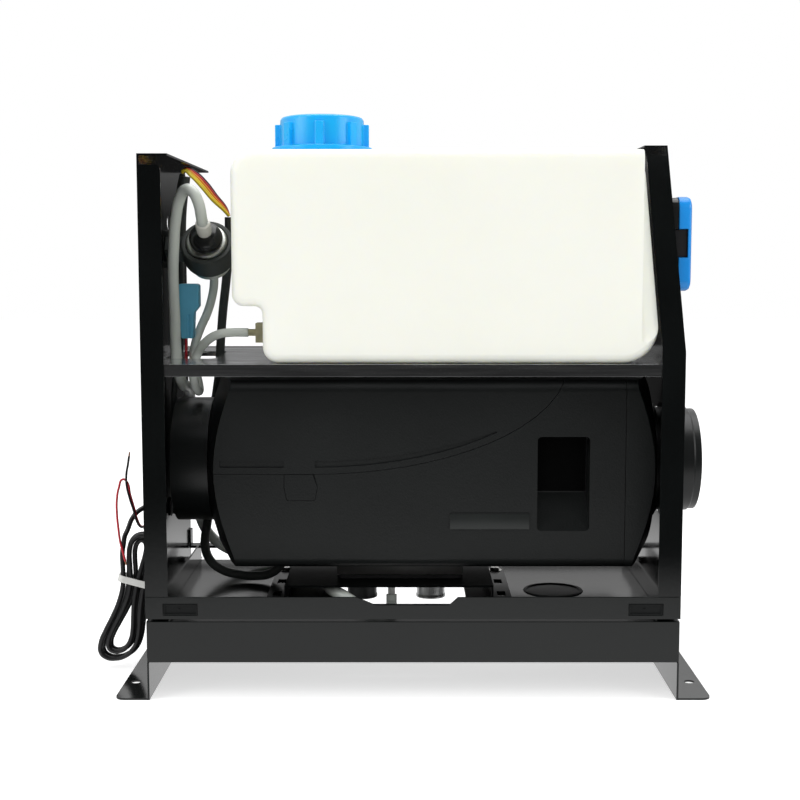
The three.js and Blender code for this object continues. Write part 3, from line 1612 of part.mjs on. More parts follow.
// The tie: a band round the waist with its head at the front's right.
function cableTie() {
  const half = (hankTurns / 2 - 0.15) * hankPitch + cordRadius + tieClear;
  const deep = hankPitch / 2 + cordRadius + tieClear;
  const [outerHalf, outerDeep] = [half + tieThick, deep + tieThick];
  const band = slabZ(
    rectangle(-outerHalf, outerHalf, -outerDeep, outerDeep, 5), -tieWide / 2, tieWide / 2,
  );
  const inside = slabZ(rectangle(-half, half, -deep, deep, 3.8), -tieWide, tieWide);
  const head = boxOf(half - 5, half + 1, deep, deep + 5, -tieWide / 2 - 0.8, tieWide / 2 + 0.8);
  const turn = new THREE.Matrix4().makeRotationY(tieTilt);
  return shifted(placed(cut(join(band, head), inside), turn), hankWaistX, hankY, hankWaist);
}

const hankEnd = hankCurve.getPoint(1).toArray();

function coreRoute(offset, rest) {
  const [x, y, z] = [hankEnd[0] - fit, hankEnd[1] + offset, hankEnd[2]];
  return [[x, y, z], [x - 2.2, y, z + 0.2], ...rest];
}

add('cord_grommet', cordGrommet(), 'rubber');
add('power_cord', powerCord(), 'black');
add('power_cord_hank', powerCordHank(), 'black');
add('cable_tie', cableTie(), 'white');
add('black_wire_end', swept(coreRoute(-1.1, [
  [-222, -20.4, 120], [-224.5, -20.2, 129], [-227.5, -20.2, 139], [-229.6, -20.2, 149],
  [-229.6, -20.2, 158], [-228, -20.2, 167], [-226.8, -20.2, 176],
]), circle(coreRadius, 6), 16), 'black');
add('red_wire_end', swept(coreRoute(1.1, [
  [-222, -17.8, 120.5], [-224.5, -17.4, 130], [-227.5, -17.2, 141], [-229.8, -17.2, 151],
  [-233, -17.6, 153.5], [-236, -19.4, 147], [-237.2, -22.4, 138], [-236.6, -26.2, 127],
  [-235.2, -28.8, 116], [-233.8, -29.4, 105], [-231.5, -29.2, 95], [-229.5, -29, 86],
]), circle(coreRadius, 6), 26), 'red');

export default heater;
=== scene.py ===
import bmesh
import bpy
import math
from mathutils import Matrix, Vector


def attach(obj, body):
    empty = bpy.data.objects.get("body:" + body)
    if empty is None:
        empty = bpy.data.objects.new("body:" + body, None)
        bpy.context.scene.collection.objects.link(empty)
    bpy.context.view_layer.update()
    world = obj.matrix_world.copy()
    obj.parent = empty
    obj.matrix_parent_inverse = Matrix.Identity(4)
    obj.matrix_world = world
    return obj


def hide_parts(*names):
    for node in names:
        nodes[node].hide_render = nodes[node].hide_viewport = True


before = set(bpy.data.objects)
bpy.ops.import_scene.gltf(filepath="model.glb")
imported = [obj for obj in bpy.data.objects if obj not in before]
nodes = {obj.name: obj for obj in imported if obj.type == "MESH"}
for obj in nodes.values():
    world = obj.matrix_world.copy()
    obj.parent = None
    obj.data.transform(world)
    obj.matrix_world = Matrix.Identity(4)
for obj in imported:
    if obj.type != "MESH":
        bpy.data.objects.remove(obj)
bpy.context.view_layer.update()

# Camera: a short telephoto at the height of the tank, looking slightly down on the front.
# Places below are in the frame's own millimetres, and the model's middle lies a little to
# the left of the frame's.
MM = 0.001
MODEL_MIDDLE = -1.75
CAMERA_AT, CAMERA_PITCH = (-6, -1119, 333), 5.98
CAMERA_LENS, CAMERA_SENSOR, PHOTO_SHIFT = 62.3, 36, -0.00625


def at(x, y, z):
    """A place in the frame's millimetres, as Blender's metres."""
    return Vector(((x + MODEL_MIDDLE) * MM, y * MM, z * MM))


photo_camera = bpy.data.cameras.new("photo_camera")
photo_camera.sensor_width = CAMERA_SENSOR
photo_camera.lens = CAMERA_LENS
photo_camera.shift_x = PHOTO_SHIFT
camera = bpy.data.objects.new("photo_camera", photo_camera)
camera.location = at(*CAMERA_AT)
camera.rotation_euler = (math.radians(90 - CAMERA_PITCH), 0, 0)
bpy.context.scene.collection.objects.link(camera)
bpy.context.scene.camera = camera


# Power cord: a thin black two-core lead. It leaves the left panel through a rubber
# grommet, and all of it is folded into a hank of four turns, tied at its waist, with its
# two bare-ended cores standing out of the top.
CORD = 4.0
CORD_EXIT = (2, 128)
HANK_Y, HANK_TURNS, HANK_PITCH = -22, 4, 5.9
HANK_TOP, HANK_BOTTOM = 115, 4.8
WAIST_X, WAIST_Z = -222.6, 71.3
UPPER_HALF, LOWER_HALF = 14.8, 17
UPPER_LEVEL, LOWER_LEVEL, WAIST_DRAW = 0.75, -0.62, 0.02
HANK_START, HANK_STEPS, HANK_CLIMB = 0.1, 96, 0.5
HANK_LEAN, LEAN_CURVE, HANK_RISE = 20, 1.2, 0.14
PANEL_FACE, GROMMET_GAP, GROMMET_BOSS = -200, 0.3, 6
EXIT_RUN, LEAD_GAP = 4, 3.8
CORE, CORE_APART, STRANDS = 0.9, 1.1, 0.65
TINT_BAND = (0.3, 0.7)
WEAR = 0.15
WELD, FLAT_UNDER, ROUND_OVER, CREASE_OVER = 0.00002, 1, 33, 38


def surface(name, colour, roughness, metallic=0.0, mottle=(30, 0.08), grain=(1400, 0.03), gloss=0.5):
    """A finish whose colour and roughness vary softly, with a fine grain in its bump.

    Mottle and grain each hold the pattern's scale and its strength.
    """
    finish = bpy.data.materials.new(name)
    finish.use_nodes = True
    tree = finish.node_tree
    shader = tree.nodes["Principled BSDF"]
    shader.inputs["Metallic"].default_value = metallic
    shader.inputs["Specular IOR Level"].default_value = gloss
    where = tree.nodes.new("ShaderNodeTexCoord")
    cloud = tree.nodes.new("ShaderNodeTexNoise")
    cloud.inputs["Scale"].default_value = mottle[0]
    cloud.inputs["Detail"].default_value = 5
    tree.links.new(where.outputs["Object"], cloud.inputs["Vector"])
    tint = tree.nodes.new("ShaderNodeValToRGB")
    for end, place, change in zip(tint.color_ramp.elements, TINT_BAND, (-mottle[1], mottle[1])):
        end.position = place
        end.color = [min(1, c * (1 + change)) for c in colour] + [1]
    tree.links.new(cloud.outputs["Fac"], tint.inputs["Fac"])
    tree.links.new(tint.outputs["Color"], shader.inputs["Base Color"])
    speck = tree.nodes.new("ShaderNodeTexNoise")
    speck.inputs["Scale"].default_value = grain[0]
    speck.inputs["Detail"].default_value = 3
    tree.links.new(where.outputs["Object"], speck.inputs["Vector"])
    worn = tree.nodes.new("ShaderNodeMapRange")
    worn.inputs["To Min"].default_value = roughness * (1 - WEAR)
    worn.inputs["To Max"].default_value = min(1, roughness * (1 + WEAR))
    tree.links.new(cloud.outputs["Fac"], worn.inputs["Value"])
    tree.links.new(worn.outputs["Result"], shader.inputs["Roughness"])
    bump = tree.nodes.new("ShaderNodeBump")
    bump.inputs["Strength"].default_value = grain[1]
    bump.inputs["Distance"].default_value = MM
    tree.links.new(speck.outputs["Fac"], bump.inputs["Height"])
    tree.links.new(bump.outputs["Normal"], shader.inputs["Normal"])
    return finish


def finished(name, bm, finish, body="frame"):
    """Turns a bmesh into a piece of the object, which rides on a body."""
    mesh = bpy.data.meshes.new(name)
    for face in bm.faces:
        face.smooth = True
    for edge in bm.edges:
        edge.smooth = len(edge.link_faces) != 2 or edge.calc_face_angle(0) < math.radians(CREASE_OVER)
    bm.to_mesh(mesh)
    bm.free()
    piece = bpy.data.objects.new(name, mesh)
    bpy.context.scene.collection.objects.link(piece)
    mesh.materials.append(finish)
    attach(piece, body)
    return piece


def dressed(node, finish, edge=0.35, segments=2, body="frame"):
    """A copy of a CAD node with its sharp edges broken by a small round."""
    bm = bmesh.new()
    bm.from_mesh(nodes[node].data)
    bmesh.ops.remove_doubles(bm, verts=bm.verts, dist=WELD)
    bmesh.ops.dissolve_limit(bm, angle_limit=math.radians(FLAT_UNDER), verts=bm.verts, edges=bm.edges)
    sharp = [
        e for e in bm.edges
        if len(e.link_faces) == 2 and e.calc_face_angle(0) > math.radians(ROUND_OVER)
    ]
    bmesh.ops.bevel(
        bm, geom=sharp, offset=edge * MM, offset_type="OFFSET", segments=segments, profile=0.5,
        affect="EDGES", clamp_overlap=True, material=-1,
    )
    piece = finished(node + "_skin", bm, finish, body)
    weighted = piece.modifiers.new("weighted", "WEIGHTED_NORMAL")
    weighted.keep_sharp = True
    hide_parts(node)
    return piece


def tube(name, route, radius, finish, rings=5):
    """A round tube along a smooth line through the points of a route, in millimetres."""
    line = bpy.data.curves.new(name, "CURVE")
    line.dimensions = "3D"
    line.bevel_depth = radius * MM
    line.bevel_resolution = rings
    line.use_fill_caps = True
    line.resolution_u = 8
    spline = line.splines.new("BEZIER")
    spline.bezier_points.add(len(route) - 1)
    for knot, point in zip(spline.bezier_points, route):
        knot.co = at(*point)
        knot.handle_left_type = "AUTO"
        knot.handle_right_type = "AUTO"
    line.materials.append(finish)
    piece = bpy.data.objects.new(name, line)
    bpy.context.scene.collection.objects.link(piece)
    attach(piece, "frame")
    return piece


def hank_half(level, less, waist_level):
    """Half the hank's width at a height, through its upper lobe, its waist and its lower lobe."""
    knots = [
        (UPPER_LEVEL, UPPER_HALF - less),
        (waist_level, (HANK_TURNS / 2 - WAIST_DRAW) * HANK_PITCH - less),
        (LOWER_LEVEL, LOWER_HALF - less),
    ]
    half = 0
    for at_level, wide in knots:
        term = wide / math.sqrt(1 - at_level ** 2)
        for other, _ in knots:
            if other != at_level:
                term *= (level - other) / (at_level - other)
        half += term
    return half


def hank_point(turn):
    """A point of the cord, whose turns spiral in at the front and out again behind."""
    middle = HANK_TURNS / 2
    climb = min(max((turn - middle + HANK_CLIMB / 2) / HANK_CLIMB, 0), 1)
    inside = min(turn, HANK_TURNS - turn, middle - HANK_CLIMB / 2)
    angle = 2 * math.pi * turn
    centre = (HANK_TOP + HANK_BOTTOM) / 2
    reach = (HANK_TOP - HANK_BOTTOM) / 2 - inside * HANK_PITCH
    level = math.cos(angle)
    height = centre + reach * level
    drop = WAIST_Z - height
    fall = WAIST_Z - HANK_BOTTOM
    lean = -HANK_LEAN * (drop / fall) ** LEAN_CURVE if drop > 0 else -drop * HANK_RISE
    side = -math.sin(angle) * hank_half(level, inside * HANK_PITCH, (WAIST_Z - centre) / reach)
    return (WAIST_X + lean + side, HANK_Y + (climb - 0.5) * HANK_PITCH, height)


cord_black = surface("cord_black", (0.012, 0.012, 0.013), 0.38, mottle=(60, 0.2), grain=(2500, 0.05))
core_red = surface("core_red", (0.55, 0.02, 0.035), 0.35, mottle=(90, 0.15))
bare_copper = surface("bare_copper", (0.72, 0.36, 0.2), 0.35, metallic=1.0, grain=(3000, 0.2))
tie_white = surface("tie_white", (0.78, 0.78, 0.75), 0.4, mottle=(80, 0.04))
soft_rubber = surface(
    "soft_rubber", (0.014, 0.014, 0.015), 0.62, mottle=(60, 0.15), grain=(1800, 0.12), gloss=0.35,
)

hank = [
    hank_point(HANK_START + (HANK_TURNS - HANK_START) * k / HANK_STEPS) for k in range(HANK_STEPS + 1)
]
start, after = Vector(hank[0]), Vector(hank[1])
heading = (after - start).normalized()
cord_exit = (PANEL_FACE - GROMMET_GAP - GROMMET_BOSS - GROMMET_GAP, *CORD_EXIT)
lead = [
    cord_exit,
    (cord_exit[0] - EXIT_RUN, *CORD_EXIT),
    (-214.5, 0.5, 128.6),
    (-221, -6, 127),
    (-226.5, -14, 121.5),
    (-229.4, -20.5, 113),
    tuple(start - heading * LEAD_GAP),
]
cord = tube("power_cord_lead", lead + hank, CORD / 2, cord_black, rings=4)
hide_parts("power_cord", "power_cord_hank")

sheath_end = hank[-1]


def core_route(offset, rest):
    """A core's way from the sheath's end, beside the cord's middle, through the rest of its points."""
    x, y, z = sheath_end[0] - 0.3, sheath_end[1] + offset, sheath_end[2]
    return [(x, y, z), (x - 2.2, y, z + 0.2)] + rest


black_core = tube("black_core", core_route(-CORE_APART, [
    (-222, -20.4, 120), (-224.5, -20.2, 129), (-227.5, -20.2, 139), (-229.6, -20.2, 149),
    (-229.6, -20.2, 158), (-228, -20.2, 167), (-227.2, -20.2, 172.5),
]), CORE, cord_black, rings=3)
red_core = tube("red_core", core_route(CORE_APART, [
    (-222, -17.8, 120.5), (-224.5, -17.4, 130), (-227.5, -17.2, 141), (-229.8, -17.2, 151),
    (-233, -17.6, 153.5), (-236, -19.4, 147), (-237.2, -22.4, 138), (-236.6, -26.2, 127),
    (-235.2, -28.8, 116), (-233.8, -29.4, 105), (-231.5, -29.2, 95), (-230.1, -29.05, 89),
]), CORE, core_red, rings=3)
black_tip = tube(
    "black_core_strands", [(-227.2, -20.2, 172.6), (-226.9, -20.2, 174.2), (-226.7, -20.2, 176)],
    STRANDS, bare_copper, rings=2,
)
red_tip = tube(
    "red_core_strands", [(-230.1, -29.05, 88.9), (-229.7, -29, 87.5), (-229.4, -29, 86)],
    STRANDS, bare_copper, rings=2,
)
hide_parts("black_wire_end")
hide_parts("red_wire_end")

# Cable tie: a white nylon band with a boxy head, cinched round the hank's waist at a slant.
cable_tie = dressed("cable_tie", tie_white, edge=0.3)

# Cord grommet: soft black rubber, snapped into the left panel's hole, with a tapered boss
# that keeps the cord from bending sharply there.
dressed("cord_grommet", soft_rubber, edge=0.5)


# Stand: two folded legs with flanged feet, and a front panel that laps over their edges.
# Mild steel 1.5 mm thick, powder coated in gloss black with a slight orange peel.
coat_black = surface(
    "coat_black", (0.0034, 0.0042, 0.0042), 0.14, mottle=(12, 0.25), grain=(260, 0.035),
)
coat_low = surface("coat_low", (0.0045, 0.0058, 0.0056), 0.17, mottle=(12, 0.2), grain=(260, 0.04))
for name in ("stand_left_leg", "stand_right_leg", "stand_front_panel"):
    dressed(name, coat_low, edge=0.4)

# Tray: the floor of the frame. Its front lip has a shallow notch in the middle and a slot
# at each end, which a moulded insert fills. A flat bar ties the panels at the back.
insert_black = surface(
    "insert_black", (0.006, 0.007, 0.007), 0.4, mottle=(50, 0.1), grain=(1500, 0.05), gloss=0.25,
)
dressed("base_tray", coat_low, edge=0.4)
dressed("rear_tie_bar", coat_low, edge=0.3)
for name in ("lip_insert_left", "lip_insert_right"):
    dressed(name, insert_black, edge=0.3)


# Tray hole: a thin black disc with a raised bead, set in the tray's round hole as painted shade
# for the dark space under the tray. Its profile gives each radius and the height from its top.
SHADE_DISC_AT, SHADE_DISC_TOP = (113.5, -23), 64.6
SHADE_DISC_PROFILE = [
    (0, -2.2), (22.1, -2.2), (22.1, -0.8), (24, -0.8), (23.6, -0.2), (21.6, 0), (20.8, -1), (0, -1.3),
]
UPRIGHT = (0, 0, 1)


def spun(bm, points, middle, axis, steps=56):
    """Spins a line of points into a full round about an axis."""
    verts = [bm.verts.new(point) for point in points]
    edges = [bm.edges.new(pair) for pair in zip(verts, verts[1:])]
    bmesh.ops.spin(
        bm, geom=verts + edges, cent=middle, axis=axis, angle=2 * math.pi, steps=steps, use_merge=True,
    )


def closed(bm):
    """Merges the poles and the seam of a spun piece and points its faces outwards."""
    bmesh.ops.remove_doubles(bm, verts=bm.verts, dist=WELD / 2)
    bmesh.ops.recalc_face_normals(bm, faces=bm.faces)
    return bm


# The disc in the tray's hole is painted shade, in the inserts' black.
shade_disc_mesh = bmesh.new()
shade_disc_points = [at(SHADE_DISC_AT[0] + radius, SHADE_DISC_AT[1], SHADE_DISC_TOP + rise) for radius, rise in SHADE_DISC_PROFILE]
spun(shade_disc_mesh, shade_disc_points, at(*SHADE_DISC_AT, 0), UPRIGHT)
finished("tray_hole_shade_disc", closed(shade_disc_mesh), insert_black)

# End panels: folded sheet with a front flange and a narrow top flange each. The right one
# is cut back on a slant above the shelf, so its flange leans back with it.
for name in ("left_end_panel", "right_end_panel"):
    dressed(name, coat_black, edge=0.4)


# Screws: pan heads with a cross in the top, black in the tray's corners, and zinc plated on
# washers at the saddle's rear feet. They are cold-headed steel and sit flat on the sheet.
TRAY_SCREWS = [(side * 193.5, end * 80, 66.0) for side in (-1, 1) for end in (-1, 1)]
SADDLE_SCREWS = [(x, 41, 65.5) for x in (-107.5, 70.5)]
TRAY_SCREW, SADDLE_SCREW, SADDLE_WASHER = 3.6, 4.2, 6
HEAD_HIGH, HEAD_ROUND = 0.7, 0.5
CROSS_LONG, CROSS_WIDE, CROSS_HIGH, CROSS_TURN = 0.95, 0.2, 0.06, 0.3
WASHER_THICK, WASHER_UP = 0.8, 0.1


def pan_head(name, places, radius, finish, washer=0.0):
    """Low domed heads with a cross in the top, one at each place, all with or without washers."""
    bm = bmesh.new()
    for place in places:
        spot = Matrix.Translation(at(*place))
        head = bmesh.ops.create_cone(
            bm, cap_ends=True, segments=24, radius1=radius * MM, radius2=radius * MM,
            depth=radius * HEAD_HIGH * MM,
            matrix=spot @ Matrix.Translation((0, 0, radius * HEAD_HIGH / 2 * MM)),
        )["verts"]
        top = [f for f in bm.faces if f.normal.z > 0.99 and all(v in head for v in f.verts)]
        rim = [e for f in top for e in f.edges]
        bmesh.ops.bevel(
            bm, geom=rim, offset=radius * HEAD_ROUND * MM, offset_type="OFFSET", segments=4, profile=0.6,
            affect="EDGES", clamp_overlap=True, material=-1,
        )
        cross_at = spot @ Matrix.Translation((0, 0, radius * HEAD_HIGH * MM))
        bar = Matrix.Diagonal((
            radius * CROSS_LONG * MM, radius * CROSS_WIDE * MM, radius * CROSS_HIGH * MM, 1,
        ))
        for angle in (CROSS_TURN, CROSS_TURN + math.pi / 2):
            bmesh.ops.create_cube(bm, size=1, matrix=cross_at @ Matrix.Rotation(angle, 4, "Z") @ bar)
        if washer:
            bmesh.ops.create_cone(
                bm, cap_ends=True, segments=28, radius1=washer * MM, radius2=washer * MM,
                depth=WASHER_THICK * MM, matrix=spot @ Matrix.Translation((0, 0, WASHER_UP * MM)),
            )
    return finished(name, bm, finish)


zinc_plate = surface(
    "zinc_plate", (0.62, 0.62, 0.6), 0.3, metallic=1.0, mottle=(200, 0.12), grain=(2200, 0.08),
)
black_screw = surface("black_screw", (0.02, 0.02, 0.02), 0.3, mottle=(80, 0.1))
pan_head("tray_screws", TRAY_SCREWS, TRAY_SCREW, black_screw)
pan_head("saddle_screws", SADDLE_SCREWS, SADDLE_SCREW, zinc_plate, washer=SADDLE_WASHER)


# Shelf: bright galvanized sheet, folded down all round, that carries the tank. Its mottle is
# drawn out along the sheet, in the direction in which the steel was rolled.
SHEET_MOTTLE, ROLLED = (16, 0.3), (1, 4, 22)
galvanized = surface(
    "galvanized", (0.75, 0.76, 0.77), 0.17, metallic=1.0, mottle=SHEET_MOTTLE, grain=(420, 0.05),
)
rolled = galvanized.node_tree.nodes.new("ShaderNodeMapping")
rolled.inputs["Scale"].default_value = ROLLED
for link in list(galvanized.node_tree.links):
    if link.from_node.type == "TEX_COORD" and link.to_node.inputs["Scale"].default_value == SHEET_MOTTLE[0]:
        galvanized.node_tree.links.new(link.from_socket, rolled.inputs["Vector"])
        galvanized.node_tree.links.new(rolled.outputs["Vector"], link.to_socket)
dressed("shelf", galvanized, edge=0.7, segments=3)


# Fuel tank: blow-moulded polyethylene, milky and slightly warm, with soft edges, a step at
# its lower left for the outlet fitting and a round filler neck on top.
TANK_OUTLINE = [
    (-111.5, 253.3, 12), (181.5, 253.3, 26), (181.5, 410, 15),
    (-134, 410, 18), (-134, 295.3, 9), (-111.5, 295.3, 6),
]
TANK_HALF, TANK_EDGE = 100, 7
TOUCHING, RIM_OVER = 1e-5, 60
NECK_X, NECK_STEPS = -72, 64
THREAD_TURNS, THREAD_TOP, THREAD_PITCH = 4, 431, 4.2
RELIEF_X, RELIEF_REACH = 168.5, 40
RELIEF = [(-125, 256), (-125, 425), (-11.3, 425), (-104, 262)]


def moulded_tank():
    """The tank's block: its front outline pulled back, with round corners and softer rims."""
    bm = bmesh.new()
    front = bm.faces.new([bm.verts.new(at(x, -TANK_HALF, z)) for x, z, _ in TANK_OUTLINE])
    pulled = bmesh.ops.extrude_face_region(bm, geom=[front])["geom"]
    back = [v for v in pulled if isinstance(v, bmesh.types.BMVert)]
    bmesh.ops.translate(bm, verts=back, vec=(0, 2 * TANK_HALF * MM, 0))
    bmesh.ops.recalc_face_normals(bm, faces=bm.faces)
    for x, z, radius in TANK_OUTLINE:
        corner = at(x, 0, z)
        upright = [
            e for e in bm.edges
            if all(abs(v.co.x - corner.x) < TOUCHING and abs(v.co.z - corner.z) < TOUCHING for v in e.verts)
        ]
        bmesh.ops.bevel(
            bm, geom=upright, offset=radius * MM, offset_type="OFFSET", segments=10, profile=0.5,
            affect="EDGES", clamp_overlap=True, material=-1,
        )
    rims = [
        e for e in bm.edges
        if e.calc_face_angle(0) > math.radians(RIM_OVER)
        and abs(e.verts[0].co.y - e.verts[1].co.y) < TOUCHING / 10
    ]
    bmesh.ops.bevel(
        bm, geom=rims, offset=TANK_EDGE * MM, offset_type="OFFSET", segments=6, profile=0.5,
        affect="EDGES", clamp_overlap=False, material=-1,
    )
    return bm


def relieved(bm):
    """Cuts the front right corner back on a slant, where the right panel's flange passes in front."""
    wedge = bmesh.new()
    side = wedge.faces.new([wedge.verts.new(at(RELIEF_X, y, z)) for y, z in RELIEF])
    pulled = bmesh.ops.extrude_face_region(wedge, geom=[side])["geom"]
    far = [v for v in pulled if isinstance(v, bmesh.types.BMVert)]
    bmesh.ops.translate(wedge, verts=far, vec=(RELIEF_REACH * MM, 0, 0))
    bmesh.ops.recalc_face_normals(wedge, faces=wedge.faces)
    blocks = []
    for name, shape in (("tank_block", bm), ("tank_relief", wedge)):
        mesh = bpy.data.meshes.new(name)
        shape.to_mesh(mesh)
        shape.free()
        block = bpy.data.objects.new(name, mesh)
        bpy.context.scene.collection.objects.link(block)
        blocks.append(block)
    cut = blocks[0].modifiers.new("relief", "BOOLEAN")
    cut.object = blocks[1]
    cut.operation = "DIFFERENCE"
    cut.solver = "EXACT"
    bpy.context.view_layer.update()
    shaped = bpy.data.meshes.new_from_object(blocks[0].evaluated_get(bpy.context.evaluated_depsgraph_get()))
    result = bmesh.new()
    result.from_mesh(shaped)
    for block in blocks:
        bpy.data.objects.remove(block)
    bpy.data.meshes.remove(shaped)
    return result


def filler_neck(bm):
    """A collar and a threaded neck, spun from one profile."""
    profile = [(26.8, 400), (26.8, 433.2), (27.6, 434), (29.8, 434), (30.4, 433)]
    for step in range(THREAD_TURNS):
        z = THREAD_TOP - step * THREAD_PITCH
        profile += [(29.6, z), (30.5, z - 1.2), (30.5, z - 2), (29.6, z - 3.2)]
    profile += [(30.2, 412.4), (37, 412.2), (37.5, 411.4), (37.5, 408.5)]
    points = [at(NECK_X + radius, 0, z) for radius, z in profile]
    spun(bm, points, at(NECK_X, 0, 0), UPRIGHT, steps=NECK_STEPS)


def let_light_in(finish, share, reach, depth):
    """Makes a plastic translucent: the share, its reach in each colour and its depth in metres."""
    shader = finish.node_tree.nodes["Principled BSDF"]
    shader.inputs["Subsurface Weight"].default_value = share
    shader.inputs["Subsurface Radius"].default_value = reach
    shader.inputs["Subsurface Scale"].default_value = depth


tank_milky = surface(
    "tank_milky", (0.955, 0.965, 0.865), 0.34, mottle=(7, 0.02), grain=(180, 0.02), gloss=0.4,
)
let_light_in(tank_milky, 0.35, (1.0, 0.9, 0.6), 0.01)
tank_mesh = relieved(moulded_tank())
filler_neck(tank_mesh)
tank = finished("tank_body", tank_mesh, tank_milky)
tank.modifiers.new("weighted", "WEIGHTED_NORMAL").keep_sharp = True
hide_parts("fuel_tank")

# Outlet fitting: a small square nut with a barb for the hose, turned from brass and screwed
# into the tank's step.
brass = surface("brass", (0.62, 0.58, 0.38), 0.42, metallic=0.65, mottle=(160, 0.15), grain=(1500, 0.1))
dressed("tank_outlet_fitting", brass, edge=0.5)

# Screw cap: azure plastic with eight broad ribs for the hand and a ring at its foot. Its
# rubber seal goes up with it as it unscrews.
cap_azure = surface("cap_azure", (0.004, 0.45, 0.97), 0.27, mottle=(25, 0.05), grain=(900, 0.02))
let_light_in(cap_azure, 0.15, (0.1, 0.6, 1.0), 0.004)
dressed("tank_cap", cap_azure, edge=0.7, segments=3, body="cap")
dressed("cap_seal", soft_rubber, edge=0.5, body="cap_lifter")


# Heater casing: two mouldings that part along a seam which sweeps up to the right, a hood
# over the hot end, a latch plate at the front, and the warm-air collar. Black nylon with
# a fine matt texture.
casing_black = surface(
    "casing_black", (0.0075, 0.0092, 0.009), 0.45, mottle=(10, 0.12), grain=(750, 0.16),
)
collar_black = surface("collar_black", (0.0085, 0.01, 0.01), 0.34, mottle=(10, 0.12), grain=(750, 0.08))
for name in ("heater_upper_shell", "heater_lower_shell", "outlet_hood"):
    dressed(name, casing_black, edge=0.6)
dressed("shell_clip", casing_black, edge=0.4)
dressed("outlet_collar", collar_black, edge=0.5)

# Air inlet: a ring on the casing's left mouth with a finger guard of rings on spokes, and
# the fan with its motor behind it.
fan_black = surface("fan_black", (0.02, 0.021, 0.022), 0.35, mottle=(30, 0.1), grain=(900, 0.05))
bright_steel = surface(
    "bright_steel", (0.55, 0.56, 0.56), 0.28, metallic=1.0, mottle=(70, 0.1), grain=(1600, 0.12),
)
dressed("inlet_ring", collar_black, edge=0.6)
dressed("inlet_guard", fan_black, edge=0.4, segments=1)
dressed("fan_impeller", fan_black, edge=0.3, segments=1, body="fan_rotor")
dressed("combustion_wheel", fan_black, edge=0.3, segments=1, body="fan_rotor")
dressed("motor_shaft", bright_steel, edge=0.3, body="fan_rotor")
dressed("fan_motor", bright_steel, edge=0.5)
dressed("control_unit", fan_black, edge=0.8)

# Burner, blower and heat exchanger: the burner and its glow plug are turned steel, inside a
# finned aluminium casting that the warm air passes.
cast_metal = surface(
    "cast_metal", (0.5, 0.5, 0.49), 0.5, metallic=1.0, mottle=(40, 0.1), grain=(600, 0.3),
)
dressed("blower_housing", cast_metal, edge=0.6)
dressed("heat_exchanger", cast_metal, edge=0.4, segments=1)
dressed("burner", bright_steel, edge=0.3)
dressed("glow_plug", bright_steel, edge=0.3)

# Saddle and stubs: a folded plate on the tray with slotted feet, a rubber gasket on it, and
# the exhaust, intake and fuel stubs that pass down through the tray.
saddle_black = surface(
    "saddle_black", (0.0028, 0.0034, 0.0034), 0.3, mottle=(12, 0.2), grain=(260, 0.04), gloss=0.2,
)
dressed("saddle_plate", saddle_black, edge=0.35)
dressed("mount_gasket", soft_rubber, edge=0.4)
dressed("exhaust_stub", bright_steel, edge=0.3)
dressed("intake_stub", fan_black, edge=0.3)


# Dosing pump: a steel can in a rubber holder, tilted up to the front, with a black moulded
# dome and a milky nozzle that the outlet hose is pushed over.
PUMP = (-162.8, -9.5, 337.5)
PUMP_TILT = math.radians(35)
PUMP_AXIS = (0, -math.cos(PUMP_TILT), math.sin(PUMP_TILT))
DOME = [
    (0, 13.3), (13.2, 13.3), (13.2, 15.6), (12.9, 17.8), (11.8, 19.9), (9.9, 21.6), (7.4, 22.6), (0, 22.9),
]
NOZZLE = [(0, 22.95), (5.6, 22.95), (5.9, 24.6), (6.1, 31.5), (5.7, 34.6), (4.6, 35.3), (0, 35.3)]


def on_pump(along):
    """A place on the pump's axis, which rises to the front."""
    return (PUMP[0], PUMP[1] - along * math.cos(PUMP_TILT), PUMP[2] + along * math.sin(PUMP_TILT))


def spun_on_pump(profile):
    """A round piece on the pump's axis, from its radii and their places along the axis."""
    bm = bmesh.new()
    points = [at(*on_pump(along)) + Vector((radius * MM, 0, 0)) for radius, along in profile]
    spun(bm, points, at(*PUMP), PUMP_AXIS)
    return closed(bm)


def milky_hose(name, colour):
    """Translucent tube wall: pale, glossy, and lit from within."""
    finish = surface(name, colour, 0.25, mottle=(35, 0.06), grain=(500, 0.02))
    let_light_in(finish, 0.5, (1, 1, 0.9), 0.003)
    return finish


pump_steel = surface(
    "pump_steel", (0.72, 0.74, 0.7), 0.45, metallic=1.0, mottle=(90, 0.08), grain=(1800, 0.1),
)
end_black = surface("end_black", (0.014, 0.015, 0.015), 0.16, mottle=(50, 0.1), grain=(1200, 0.02))
nozzle_milk = milky_hose("nozzle_milk", (0.86, 0.85, 0.78))
holder_rubber = surface(
    "holder_rubber", (0.045, 0.052, 0.048), 0.5, mottle=(60, 0.15), grain=(1800, 0.1),
)
dressed("pump_body", pump_steel, edge=0.6, segments=3)
dressed("pump_plunger", pump_steel, edge=0.3, body="pump_piston")
pump_dome = finished("pump_dome", spun_on_pump(DOME), end_black)
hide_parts("pump_end_cap")
finished("pump_nozzle", spun_on_pump(NOZZLE), nozzle_milk)
dressed("pump_holder", holder_rubber, edge=1.0, segments=3)
dressed("pump_bracket", coat_black, edge=0.3)

